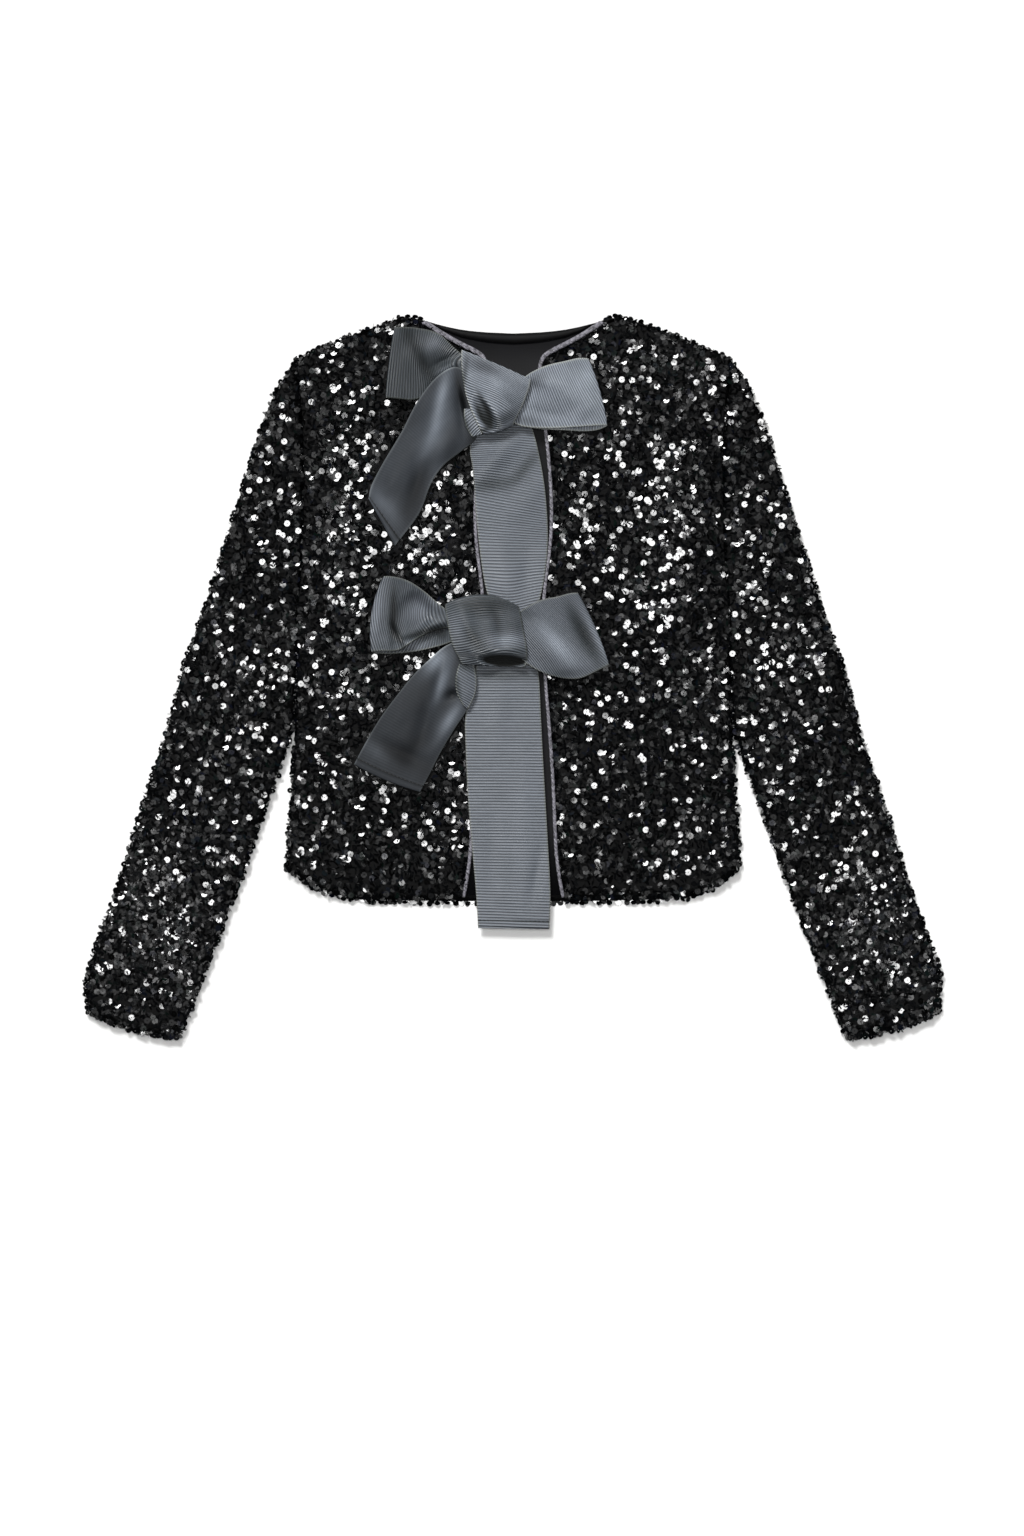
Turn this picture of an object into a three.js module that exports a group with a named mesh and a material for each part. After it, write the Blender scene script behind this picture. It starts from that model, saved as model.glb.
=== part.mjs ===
// A cropped, open-fronted jacket of black sequinned cloth, tied with two wide grosgrain bows and laid flat.
// Millimetres. X runs to the right across the garment, Y from hem to neck, Z up from the table.
// The origin is on the table, under the middle of the spread garment.

import * as THREE from "three";

// Cloth and seams
const CLOTH = 2.8;
const LINING = 1;
const RIBBON = 1;
const SEAM = 0.3;
const FOLD_RADIUS = 4.35;
const SEAM_HEIGHT = FOLD_RADIUS + SEAM / 2;
const TOP = SEAM_HEIGHT + SEAM / 2 + FOLD_RADIUS;
const FLAT_REACH = 12;
const FOLD_STEPS = 4;

// Armholes: from the shoulder point to the underarm, hollowed towards the body
const SHOULDER = { x: 183.9, y: 270.3 };
const UNDERARM = { x: 184.7, y: 45.9 };
const ARMHOLE_HOLLOW = 5.5;
const ARMHOLE_DIP = 2.2;
const ARMHOLE_DIP_WIDTH = 11;
const SIDE_FOLD_START = 34;

// Front edges are bound with satin, a little wider round the neck
const NECK_BINDING = 4.3;
const EDGE_BINDING = 3.2;
const NECK_CORNER_Y = 266;
const BINDING_DOME = 0.3;
const HEM_DROOP = 1.6;
const HEM_DEPTH = 14;

// Half of the garment, at the side where x is positive
const shoulderLine = [
  { x: 183.9, y: 270.3 },
  { x: 172, y: 276.3 },
  { x: 156.7, y: 283.1 },
  { x: 141.4, y: 290 },
  { x: 126.1, y: 295.3 },
  { x: 106.8, y: 302 },
  { x: 95, y: 306.6 },
  { x: 86, y: 308.4 },
  { x: 77.5, y: 305 },
];
const sideSeam = [
  { x: 184.4, y: 20 },
  { x: 184.7, y: -22.1 },
  { x: 186.2, y: -57.8 },
  { x: 189.4, y: -105.4 },
  { x: 191.5, y: -139.4 },
  { x: 192.6, y: -163 },
];
const frontEdge = [
  { x: 76.3, y: 304.3, binding: NECK_BINDING },
  { x: 68, y: 298.5, binding: NECK_BINDING },
  { x: 57.5, y: 291.7, binding: NECK_BINDING },
  { x: 48, y: 286.4, binding: NECK_BINDING },
  { x: 36.5, y: 280.8, binding: NECK_BINDING },
  { x: 27, y: 275.8, binding: NECK_BINDING },
  { x: 22.4, y: 270.8, binding: NECK_BINDING },
  { x: 20.4, y: 262, binding: EDGE_BINDING },
  { x: 22.6, y: 237, binding: EDGE_BINDING },
  { x: 26.1, y: 207.4, binding: EDGE_BINDING },
  { x: 30.6, y: 160, binding: EDGE_BINDING },
  { x: 30.3, y: 108, binding: EDGE_BINDING },
  { x: 24.4, y: 75, binding: EDGE_BINDING },
  { x: 23, y: 40, binding: EDGE_BINDING },
  { x: 25.2, y: 0, binding: EDGE_BINDING },
  { x: 30.2, y: -57, binding: EDGE_BINDING },
  { x: 33, y: -104.6, binding: EDGE_BINDING },
  { x: 35.6, y: -160, binding: EDGE_BINDING },
  { x: 41, y: -189.2, binding: EDGE_BINDING },
];
// A front's rows, by share from its shoulder to its hem: closer together at the corner of the neck
const frontRows = [
  0, 0.03, 0.06, 0.085, 0.1, 0.112, 0.126, 0.145, 0.18, 0.23, 0.29, 0.35, 0.41, 0.47, 0.53, 0.6, 0.67,
  0.74, 0.81, 0.88, 0.93, 0.97, 1,
];
const frontHem = [
  { x: 192.6, y: -163 },
  { x: 186, y: -170 },
  { x: 172.8, y: -178 },
  { x: 147.3, y: -186.6 },
  { x: 110, y: -189 },
  { x: 41, y: -189.2 },
];
const backNeck = [
  { x: 77.5, y: 305 },
  { x: 64, y: 299.8 },
  { x: 44, y: 295.4 },
  { x: 24, y: 293.4 },
  { x: 0, y: 292.4 },
];
const backHem = [
  { x: 192.6, y: -163 },
  { x: 186, y: -171 },
  { x: 172.8, y: -180 },
  { x: 147.3, y: -189.6 },
  { x: 90, y: -193 },
  { x: 0, y: -193.6 },
];

// Each sleeve lies flat from the armhole to the cuff. A row runs from its outer fold to its inner one,
// and a hollow bends it towards the body.
const sleeve = [
  { outerX: 184.5, outerY: 270.3, innerX: 185.3, innerY: 45.9, hollow: ARMHOLE_HOLLOW },
  { outerX: 196.2, outerY: 253.6, innerX: 185.4, innerY: 37, hollow: 4.4 },
  { outerX: 206.8, outerY: 232.9, innerX: 185.4, innerY: 28, hollow: 3 },
  { outerX: 217.9, outerY: 200.6, innerX: 185.5, innerY: 18, hollow: 1.5 },
  { outerX: 228.1, outerY: 166.6, innerX: 185.7, innerY: 7, hollow: 0 },
  { outerX: 240.2, outerY: 128, innerX: 186, innerY: -5, hollow: 0 },
  { outerX: 253.2, outerY: 87, innerX: 186.4, innerY: -20, hollow: 0 },
  { outerX: 267.5, outerY: 44, innerX: 187.4, innerY: -37, hollow: 0 },
  { outerX: 281.6, outerY: 5, innerX: 190.6, innerY: -58, hollow: 0 },
  { outerX: 293.6, outerY: -42, innerX: 202.6, innerY: -88.4, hollow: 0 },
  { outerX: 309.5, outerY: -92, innerX: 217.5, innerY: -131, hollow: 0 },
  { outerX: 325.8, outerY: -142, innerX: 231, innerY: -170, hollow: 0 },
  { outerX: 342, outerY: -193, innerX: 246.4, innerY: -210, hollow: -1 },
  { outerX: 357.6, outerY: -236, innerX: 264, innerY: -257, hollow: -2.5 },
  { outerX: 366.6, outerY: -270, innerX: 277.5, innerY: -291, hollow: -4 },
  { outerX: 362.5, outerY: -285.5, innerX: 284, innerY: -308.4, hollow: -4.5 },
];

// Soft folds: a place, the way the fold runs, its half length, its half width and its height
const softFolds = [
  { x: -226, y: 118, angle: -72, long: 62, wide: 14, high: 1.6 },
  { x: -214, y: 40, angle: -58, long: 44, wide: 11, high: -1.5 },
  { x: -262, y: -20, angle: -68, long: 52, wide: 13, high: 1.4 },
  { x: -256, y: -96, angle: -40, long: 30, wide: 11, high: -1.2 },
  { x: -306, y: -178, angle: -70, long: 48, wide: 13, high: 1.3 },
  { x: -142, y: 92, angle: -84, long: 90, wide: 17, high: 1.5 },
  { x: -108, y: -96, angle: 86, long: 66, wide: 16, high: 1.2 },
  { x: -160, y: -10, angle: 60, long: 40, wide: 12, high: -1.1 },
  { x: -128, y: 222, angle: 24, long: 46, wide: 15, high: 1.2 },
  { x: 230, y: 104, angle: 72, long: 58, wide: 13, high: 1.7 },
  { x: 210, y: 28, angle: 56, long: 46, wide: 12, high: -1.4 },
  { x: 266, y: -34, angle: 67, long: 56, wide: 13, high: 1.2 },
  { x: 262, y: -112, angle: 42, long: 32, wide: 10, high: -1.3 },
  { x: 310, y: -190, angle: 70, long: 44, wide: 14, high: 1.4 },
  { x: 138, y: 84, angle: 83, long: 84, wide: 16, high: 1.6 },
  { x: 112, y: -84, angle: -85, long: 70, wide: 17, high: 1.1 },
  { x: 158, y: -18, angle: -58, long: 38, wide: 12, high: -1.2 },
  { x: 132, y: 214, angle: -26, long: 44, wide: 15, high: 1.1 },
];

// Inside the back: the lining's distance in from the seams, and the neck facing's depth
const LINING_INSET = 9;
const LINING_NECK_INSET = 0.8;
const LINING_NECK_HALF = 50;
const LINING_HEM_INSET = 7;
const FACING_REACH = 66;
const FACING_DEPTH = 8.6;
const FACING_END_DEPTH = 2.4;

// Ribbon of both bows. Each row crosses the ribbon from edge a to edge b; arch lifts its middle and
// bulge pushes its middle along the ribbon.
const bows = {
  upper_bow_left_loop: [
    { ax: -36, ay: 262, az: 12.4, bx: -37, by: 250, bz: 12.2, arch: 0, bulge: 0 },
    { ax: -54, ay: 272, az: 11, bx: -54, by: 243, bz: 10.8, arch: 0, bulge: 0 },
    { ax: -76, ay: 286, az: 10.4, bx: -78, by: 236.5, bz: 10.3, arch: 0, bulge: 0 },
    { ax: -94, ay: 294, az: 10.4, bx: -99, by: 235.4, bz: 10.3, arch: 0, bulge: 0 },
    { ax: -100.6, ay: 295.8, az: 14, bx: -108.2, by: 236.3, bz: 13.2, arch: 0, bulge: 1 },
    { ax: -94, ay: 295.8, az: 17.6, bx: -100, by: 235.2, bz: 16.2, arch: 0.5, bulge: 0 },
    { ax: -80, ay: 294.6, az: 18.6, bx: -84, by: 234.2, bz: 16.6, arch: 0.5, bulge: 0 },
    { ax: -64, ay: 290, az: 18.4, bx: -68, by: 240, bz: 16.4, arch: 0.5, bulge: 0 },
    { ax: -50, ay: 278, az: 17.4, bx: -54, by: 250, bz: 16.2, arch: 0.4, bulge: 0 },
    { ax: -38, ay: 268, az: 16.6, bx: -40, by: 256, bz: 16, arch: 0, bulge: 0 },
  ],
  upper_bow_right_loop: [
    { ax: 3, ay: 246, az: 13, bx: -4, by: 218, bz: 13, arch: 0, bulge: 0 },
    { ax: 20, ay: 256, az: 11.8, bx: 14, by: 211, bz: 12.2, arch: 0, bulge: 0 },
    { ax: 38, ay: 262, az: 11.4, bx: 42, by: 208.8, bz: 11.4, arch: 0, bulge: 0 },
    { ax: 55, ay: 267.4, az: 11.4, bx: 70, by: 208.6, bz: 11.4, arch: 0, bulge: 0 },
    { ax: 63.5, ay: 269, az: 14.4, bx: 79.6, by: 212.4, bz: 14, arch: 0, bulge: -2 },
    { ax: 57, ay: 269.4, az: 17.8, bx: 71, by: 212.2, bz: 16.8, arch: 0.5, bulge: 0 },
    { ax: 43, ay: 266.4, az: 19.4, bx: 50, by: 210.6, bz: 18, arch: 1, bulge: 0 },
    { ax: 27, ay: 262.4, az: 19.4, bx: 27, by: 209.8, bz: 18, arch: 1, bulge: 0 },
    { ax: 15, ay: 256.6, az: 18.4, bx: 8, by: 211.4, bz: 17.4, arch: 1, bulge: 0 },
    { ax: 4, ay: 249, az: 17, bx: -3, by: 216, bz: 16.4, arch: 0.5, bulge: 0 },
  ],
  upper_bow_knot: [
    { ax: -40, ay: 270, az: 20, bx: 10.4, by: 247, bz: 19.9, arch: 2, bulge: 0 },
    { ax: -43.6, ay: 275.4, az: 22, bx: 14.2, by: 250.8, bz: 21, arch: 3, bulge: -0.4 },
    { ax: -44, ay: 269, az: 24.4, bx: 14, by: 246, bz: 23, arch: 3.4, bulge: 0 },
    { ax: -43, ay: 254, az: 25, bx: 11.6, by: 238, bz: 23.4, arch: 4.2, bulge: 0 },
    { ax: -39.7, ay: 236.3, az: 24.2, bx: 7.6, by: 228, bz: 22.8, arch: 4.6, bulge: 0 },
    { ax: -32.6, ay: 218, az: 22.6, bx: 1.6, by: 216.4, bz: 21.8, arch: 3.6, bulge: 0 },
    { ax: -25.8, ay: 205.6, az: 18.8, bx: -1.1, by: 212.4, bz: 18.4, arch: 2, bulge: 2 },
    { ax: -25.4, ay: 208.6, az: 15.2, bx: -4.2, by: 213.6, bz: 15, arch: 1, bulge: 2 },
  ],
  upper_bow_left_tail: [
    { ax: -38, ay: 256, az: 19.4, bx: -30, by: 224, bz: 18.2, arch: 0.6, bulge: 0 },
    { ax: -49.6, ay: 261.4, az: 20, bx: -33, by: 211, bz: 17, arch: 1.6, bulge: 0 },
    { ax: -63.2, ay: 254.2, az: 20.4, bx: -31.6, by: 201.6, bz: 15.4, arch: 2, bulge: 0 },
    { ax: -80.2, ay: 233.8, az: 19.6, bx: -43.6, by: 191.3, bz: 13.4, arch: 2.6, bulge: 0 },
    { ax: -95.5, ay: 205.7, az: 14.6, bx: -60, by: 178, bz: 12, arch: 3.2, bulge: 0 },
    { ax: -111, ay: 180, az: 11.6, bx: -70.5, by: 162, bz: 11, arch: 3, bulge: 0 },
    { ax: -120.4, ay: 162, az: 10.3, bx: -80, by: 138, bz: 10.5, arch: 2, bulge: 0 },
    { ax: -122.9, ay: 150.5, az: 9.9, bx: -100.6, by: 110.5, bz: 9.9, arch: 0.6, bulge: 0 },
  ],
  upper_bow_centre_tail: [
    { ax: -33, ay: 214, az: 10.6, bx: 12, by: 222, bz: 10.6, arch: 0.3, bulge: 0 },
    { ax: -36.8, ay: 194, az: 10, bx: 18.6, by: 202, bz: 10, arch: 0.6, bulge: 0 },
    { ax: -34.3, ay: 175, az: 10, bx: 24.6, by: 174, bz: 10, arch: 0.5, bulge: 0 },
    { ax: -32.6, ay: 150, az: 10, bx: 28.2, by: 144, bz: 10, arch: 0.3, bulge: 0 },
    { ax: -28.7, ay: 108, az: 10, bx: 29, by: 108, bz: 10, arch: 0.3, bulge: 0 },
    { ax: -24.3, ay: 79, az: 10, bx: 25.6, by: 79, bz: 10, arch: 0.5, bulge: 0 },
    { ax: -20.5, ay: 64, az: 10.2, bx: 21.8, by: 62, bz: 10.2, arch: 0.6, bulge: 0 },
    { ax: -17, ay: 48, az: 10.4, bx: 18, by: 48, bz: 10.4, arch: 0.6, bulge: 0 },
  ],
  lower_bow_left_loop: [
    { ax: -48, ay: 49, az: 14, bx: -47, by: 31, bz: 15.6, arch: 0, bulge: 0 },
    { ax: -66, ay: 60, az: 11.6, bx: -62, by: 25.6, bz: 14.6, arch: 0, bulge: 0 },
    { ax: -84, ay: 73, az: 10.6, bx: -84, by: 20.6, bz: 12.4, arch: 0, bulge: 0 },
    { ax: -102, ay: 82, az: 10.4, bx: -110, by: 18.8, bz: 11, arch: 0, bulge: -2 },
    { ax: -109.9, ay: 84.2, az: 14.6, bx: -120.1, by: 20.4, bz: 14.6, arch: 0, bulge: 5 },
    { ax: -103, ay: 84.2, az: 19, bx: -112.6, by: 21, bz: 18, arch: -0.6, bulge: 4 },
    { ax: -90, ay: 80.8, az: 20.6, bx: -98, by: 21.6, bz: 19.6, arch: -2, bulge: 0 },
    { ax: -75, ay: 71.2, az: 20.6, bx: -81, by: 32, bz: 20, arch: -2, bulge: 0 },
    { ax: -62, ay: 60, az: 19.4, bx: -64, by: 39.6, bz: 19, arch: -0.6, bulge: 0 },
    { ax: -50, ay: 52, az: 18.4, bx: -50, by: 41.6, bz: 18, arch: 0, bulge: 0 },
  ],
  lower_bow_right_loop: [
    { ax: 0, ay: 49, az: 13.2, bx: 2, by: 20, bz: 13, arch: 0, bulge: 0 },
    { ax: 16, ay: 59, az: 12.2, bx: 16, by: 7, bz: 12.4, arch: 0, bulge: 0 },
    { ax: 33, ay: 65, az: 11.4, bx: 40, by: 0.4, bz: 11.4, arch: 0, bulge: 0 },
    { ax: 47, ay: 69.6, az: 11.4, bx: 66, by: 2, bz: 11.4, arch: 0, bulge: 0 },
    { ax: 54.4, ay: 70.4, az: 14.4, bx: 81.1, by: 9.4, bz: 14, arch: 0, bulge: -2 },
    { ax: 48.6, ay: 70, az: 17.8, bx: 73, by: 5.2, bz: 16.8, arch: 0.8, bulge: 0 },
    { ax: 37, ay: 67, az: 19.6, bx: 55, by: -2.4, bz: 18, arch: 1.4, bulge: 0 },
    { ax: 23, ay: 64, az: 19.8, bx: 32, by: 0.2, bz: 18.4, arch: 1.4, bulge: 0 },
    { ax: 12, ay: 58.6, az: 18.8, bx: 15, by: 8, bz: 17.8, arch: 1, bulge: 0 },
    { ax: 1, ay: 51, az: 17.4, bx: 3, by: 18, bz: 16.8, arch: 0.5, bulge: 0 },
  ],
  lower_bow_knot: [
    { ax: -53, ay: 56, az: 20.4, bx: 0.6, by: 54.4, bz: 19.8, arch: 2, bulge: -7 },
    { ax: -57.2, ay: 60.4, az: 22.6, bx: 4, by: 58.7, bz: 21.6, arch: 2.6, bulge: -8.6 },
    { ax: -57, ay: 53, az: 24.8, bx: 6, by: 52, bz: 23.4, arch: 3, bulge: -6 },
    { ax: -54.8, ay: 40, az: 25.2, bx: 8.6, by: 38, bz: 23.8, arch: 3.8, bulge: -2 },
    { ax: -51.4, ay: 26, az: 24.6, bx: 11, by: 25, bz: 23.4, arch: 4.2, bulge: 0 },
    { ax: -46.6, ay: 16, az: 22.2, bx: 11.6, by: 14.6, bz: 21.4, arch: 3.6, bulge: 0 },
    { ax: -42.8, ay: 9.6, az: 18.8, bx: 9.6, by: 7.6, bz: 18.2, arch: 2.4, bulge: 0 },
    { ax: -41.6, ay: 12.2, az: 16.6, bx: 7.6, by: 10.4, bz: 16.2, arch: 1.4, bulge: 0 },
  ],
  lower_bow_left_tail: [
    { ax: -50, ay: 29, az: 15.4, bx: -33, by: 12, bz: 14, arch: 0, bulge: 0 },
    { ax: -59.6, ay: 24, az: 14.6, bx: -31.6, by: 0, bz: 13.6, arch: 1.2, bulge: 0 },
    { ax: -71, ay: 14, az: 13.6, bx: -33, by: -14, bz: 13.4, arch: 2.4, bulge: 0 },
    { ax: -84, ay: 1.6, az: 12.4, bx: -39.6, by: -29, bz: 12.6, arch: 2.6, bulge: 0 },
    { ax: -99.7, ay: -17.9, az: 11.4, bx: -50.6, by: -46, bz: 11.6, arch: 2.6, bulge: 0 },
    { ax: -113, ay: -36, az: 10.8, bx: -61.6, by: -64.6, bz: 11, arch: 2, bulge: 0 },
    { ax: -126, ay: -57.6, az: 10.6, bx: -70.6, by: -82.4, bz: 10.6, arch: 1.2, bulge: 0 },
    { ax: -135.4, ay: -75.2, az: 10.4, bx: -79.3, by: -98.6, bz: 10.4, arch: 0.4, bulge: 2 },
  ],
  lower_bow_centre_tail: [
    { ax: -30, ay: 24, az: 10.8, bx: 18, by: 24, bz: 10.8, arch: 0.5, bulge: 0 },
    { ax: -32.6, ay: 0, az: 10.2, bx: 21.6, by: 0, bz: 10.2, arch: 0.5, bulge: 0 },
    { ax: -40.6, ay: -34, az: 10, bx: 23.4, by: -34, bz: 10, arch: 0.3, bulge: 0 },
    { ax: -40.4, ay: -62, az: 10, bx: 24.8, by: -62, bz: 10, arch: 0.3, bulge: 0 },
    { ax: -38.5, ay: -104, az: 10, bx: 27.2, by: -104, bz: 10, arch: 0.3, bulge: 0 },
    { ax: -35.4, ay: -142, az: 10, bx: 29.4, by: -142, bz: 10, arch: 0.3, bulge: 0 },
    { ax: -31.6, ay: -185, az: 9.9, bx: 31.5, by: -186, bz: 9.9, arch: 0.4, bulge: 0 },
    { ax: -29.8, ay: -214.2, az: 9.2, bx: 30.6, by: -215.1, bz: 9.2, arch: 0.6, bulge: 0 },
  ],
};

const sequinned = new THREE.MeshStandardMaterial({ color: 0x17181a, roughness: 0.32, metalness: 0.1 });
const liningCloth = new THREE.MeshStandardMaterial({ color: 0x0e0e10, roughness: 0.8, metalness: 0 });
const satin = new THREE.MeshStandardMaterial({ color: 0x6f6d75, roughness: 0.45, metalness: 0 });
const grosgrain = new THREE.MeshStandardMaterial({ color: 0x565c61, roughness: 0.55, metalness: 0 });

// A smooth curve through a table's rows, spaced by their distance apart in the named columns.
function track(rows, places = ["x", "y"]) {
  const columns = Object.keys(rows[0]);
  const distances = [0];
  for (let i = 1; i < rows.length; i++) {
    const step = Math.hypot(...places.map((place) => rows[i][place] - rows[i - 1][place]));
    distances.push(distances[i - 1] + step);
  }
  const parts = distances.map((distance) => distance / distances.at(-1));
  const values = rows.flatMap((row) => columns.map((column) => row[column]));
  const curve = new THREE.CubicInterpolant(parts, values, columns.length);
  return (part) => {
    const found = [...curve.evaluate(THREE.MathUtils.clamp(part, 0, 1))];
    return Object.fromEntries(columns.map((column, i) => [column, found[i]]));
  };
}

const flat = (place) => new THREE.Vector2(place.x, place.y);

// The armhole line, from the shoulder point at 0 to the underarm at 1.
function armhole(part) {
  const x = THREE.MathUtils.lerp(SHOULDER.x, UNDERARM.x, part) - ARMHOLE_HOLLOW * 4 * part * (1 - part);
  return { x, y: THREE.MathUtils.lerp(SHOULDER.y, UNDERARM.y, part) };
}

// The upper cloth's height above its level plane: the dip along the armhole seam and the soft folds.
function relief(x, y) {
  const part = (SHOULDER.y - y) / (SHOULDER.y - UNDERARM.y);
  const fade = THREE.MathUtils.smoothstep(part, 0.1, 0.35) * (1 - THREE.MathUtils.smoothstep(part, 1, 1.2));
  const across = (Math.abs(x) - armhole(part).x) / ARMHOLE_DIP_WIDTH;
  let height = -ARMHOLE_DIP * fade * Math.exp(-across * across);
  for (const fold of softFolds) {
    const turn = THREE.MathUtils.degToRad(fold.angle);
    const along = (x - fold.x) * Math.cos(turn) + (y - fold.y) * Math.sin(turn);
    const beside = (y - fold.y) * Math.cos(turn) - (x - fold.x) * Math.sin(turn);
    height += fold.high * Math.exp(-((along / fold.long) ** 2) - (beside / fold.wide) ** 2);
  }
  return height;
}

// One closed body between two grids of points. A round one joins its last column to its first.
function clothBody(outer, inner, round = false) {
  const rows = outer.length;
  const columns = outer[0].length;
  const spans = round ? columns : columns - 1;
  const index = [];
  const at = (layer, row, column) => (layer * rows + row) * columns + (column % columns);
  const quad = (a, b, c, d) => index.push(a, b, c, a, c, d);
  for (let j = 0; j < spans; j++) {
    for (let i = 0; i < rows - 1; i++) {
      quad(at(0, i, j), at(0, i, j + 1), at(0, i + 1, j + 1), at(0, i + 1, j));
      quad(at(1, i, j), at(1, i + 1, j), at(1, i + 1, j + 1), at(1, i, j + 1));
    }
    quad(at(0, 0, j), at(1, 0, j), at(1, 0, j + 1), at(0, 0, j + 1));
    quad(at(0, rows - 1, j), at(0, rows - 1, j + 1), at(1, rows - 1, j + 1), at(1, rows - 1, j));
  }
  for (let i = 0; i < rows - 1 && !round; i++) {
    quad(at(0, i, 0), at(0, i + 1, 0), at(1, i + 1, 0), at(1, i, 0));
    quad(at(0, i, spans), at(1, i, spans), at(1, i + 1, spans), at(0, i + 1, spans));
  }
  const points = [...outer.flat(), ...inner.flat()];
  if (volume(points, index) < 0) index.reverse();
  const geometry = new THREE.BufferGeometry().setFromPoints(points);
  geometry.setIndex(index);
  geometry.computeVertexNormals();
  return geometry;
}

function volume(points, index) {
  let sum = 0;
  const normal = new THREE.Vector3();
  for (let i = 0; i < index.length; i += 3) {
    normal.crossVectors(points[index[i + 1]], points[index[i + 2]]);
    sum += points[index[i]].dot(normal) / 6;
  }
  return sum;
}

// How far in from an edge a step lies: on an arc where the cloth turns over, evenly where it stays flat.
function reach(fold, step) {
  return fold * FOLD_RADIUS * (1 - Math.cos((step * Math.PI) / 2)) + (1 - fold) * FLAT_REACH * step;
}

const evenly = (spans) => Array.from({ length: spans + 1 }, (_, k) => k / spans);

// The steps over a panel one way: those of its first edge, of its flat's parts and of its last edge.
function stepsOver(firstFolds, parts, lastFolds) {
  const steps = [];
  for (let k = 0; k < FOLD_STEPS && firstFolds; k++) steps.push({ end: 0, step: k / FOLD_STEPS });
  for (const part of parts) steps.push({ part, lead: firstFolds, trail: lastFolds });
  for (let k = FOLD_STEPS - 1; k >= 0 && lastFolds; k--) steps.push({ end: 1, step: k / FOLD_STEPS });
  return steps;
}

// Where one step lies along a length whose ends turn over by the given shares, how much of the full
// height it has there, and how far the cloth leans outwards.
function place(step, length, folds) {
  if (step.part !== undefined) {
    const lead = step.lead ? reach(folds[0], 1) : 0;
    const trail = step.trail ? reach(folds[1], 1) : 0;
    return { at: (lead + step.part * (length - lead - trail)) / length, lift: 1, lean: 0 };
  }
  const fold = folds[step.end];
  const turn = (step.step * Math.PI) / 2;
  const away = reach(fold, step.step) / length;
  const lean = fold * Math.cos(turn) * (step.end ? 1 : -1);
  return { at: step.end ? 1 - away : away, lift: 1 - fold + fold * Math.sin(turn), lean };
}

// A panel between four edge curves. Its outer side faces up, or down where facing is -1.
function panel({ top, bottom, left, right, across, down, sideFold, topFold, facing, drape }) {
  const corner = [top(0), top(1), bottom(0), bottom(1)].map(flat);
  const spot = (s, t) =>
    flat(left(t))
      .multiplyScalar(1 - s)
      .addScaledVector(flat(right(t)), s)
      .addScaledVector(flat(top(s)), 1 - t)
      .addScaledVector(flat(bottom(s)), t)
      .addScaledVector(corner[0], -(1 - s) * (1 - t))
      .addScaledVector(corner[1], -s * (1 - t))
      .addScaledVector(corner[2], -(1 - s) * t)
      .addScaledVector(corner[3], -s * t);
  const outer = [];
  const inner = [];
  for (const downStep of down) {
    const outerRow = [];
    const innerRow = [];
    const guess = place(downStep, flat(left(0)).distanceTo(flat(left(1))), [1, 1]).at;
    const folds = sideFold(left(guess).y);
    for (const acrossStep of across) {
      const width = flat(left(guess)).distanceTo(flat(right(guess)));
      const column = place(acrossStep, width, [folds, folds]);
      const drop = flat(top(column.at)).distanceTo(flat(bottom(column.at)));
      const row = place(downStep, drop, [topFold(top(column.at).x), 0]);
      const plan = spot(column.at, row.at);
      const sideways = spot(column.at + 0.01, row.at).sub(spot(column.at - 0.01, row.at)).normalize();
      const downwards = spot(column.at, row.at + 0.01).sub(spot(column.at, row.at - 0.01)).normalize();
      const lift = column.lift * row.lift;
      const lean = sideways.multiplyScalar(column.lean).addScaledVector(downwards, row.lean);
      const normal = new THREE.Vector3(lean.x, lean.y, facing * lift).normalize();
      const height = SEAM_HEIGHT + facing * (SEAM / 2 + FOLD_RADIUS * lift) + drape(plan.x, plan.y) * lift;
      const point = new THREE.Vector3(plan.x, plan.y, height);
      outerRow.push(point);
      innerRow.push(point.clone().addScaledVector(normal, -CLOTH));
    }
    outer.push(outerRow);
    inner.push(innerRow);
  }
  return { outer, inner };
}

// The side of a panel: along the armhole, then down the side seam. side is -1 or 1.
function sideEdge(side) {
  const rows = [];
  for (let k = 0; k <= 6; k++) rows.push(armhole(k / 6));
  return track([...rows, ...sideSeam].map((row) => ({ x: side * row.x, y: row.y })));
}

const sideFoldAt = (y) => 1 - THREE.MathUtils.smoothstep(y, SIDE_FOLD_START - 24, SIDE_FOLD_START);

// The front hem sinks a little towards the back.
function frontDrape(x, y) {
  const hem = frontHem.at(-1).y;
  return relief(x, y) - HEM_DROOP * (1 - THREE.MathUtils.smoothstep(y, hem, hem + HEM_DEPTH));
}

// The front panel's own edge: the bound edge, moved in by the binding and a seam.
function edgeInside(side) {
  const bound = track(frontEdge);
  return (part) => {
    const here = bound(part);
    const along = flat(bound(part + 0.004)).sub(flat(bound(part - 0.004))).normalize();
    const away = here.binding + SEAM;
    return { x: side * (here.x - along.y * away), y: here.y + along.x * away };
  };
}

function frontPanel(side) {
  const inside = edgeInside(side);
  const shoulder = track(shoulderLine.map((row) => ({ x: side * row.x, y: row.y })));
  const hem = track(frontHem.map((row) => ({ x: side * row.x, y: row.y })));
  const shoulderEnd = inside(0);
  const hemEnd = inside(1);
  const meet = (curve, end) => (part) => {
    const here = curve(part);
    const last = curve(1);
    return { x: here.x + part * (end.x - last.x), y: here.y + part * (end.y - last.y) };
  };
  return panel({
    top: meet(shoulder, shoulderEnd),
    bottom: meet(hem, hemEnd),
    left: sideEdge(side),
    right: inside,
    across: stepsOver(true, evenly(8), false),
    down: stepsOver(true, frontRows, false),
    sideFold: sideFoldAt,
    topFold: () => 1,
    facing: 1,
    drape: frontDrape,
  });
}

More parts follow.
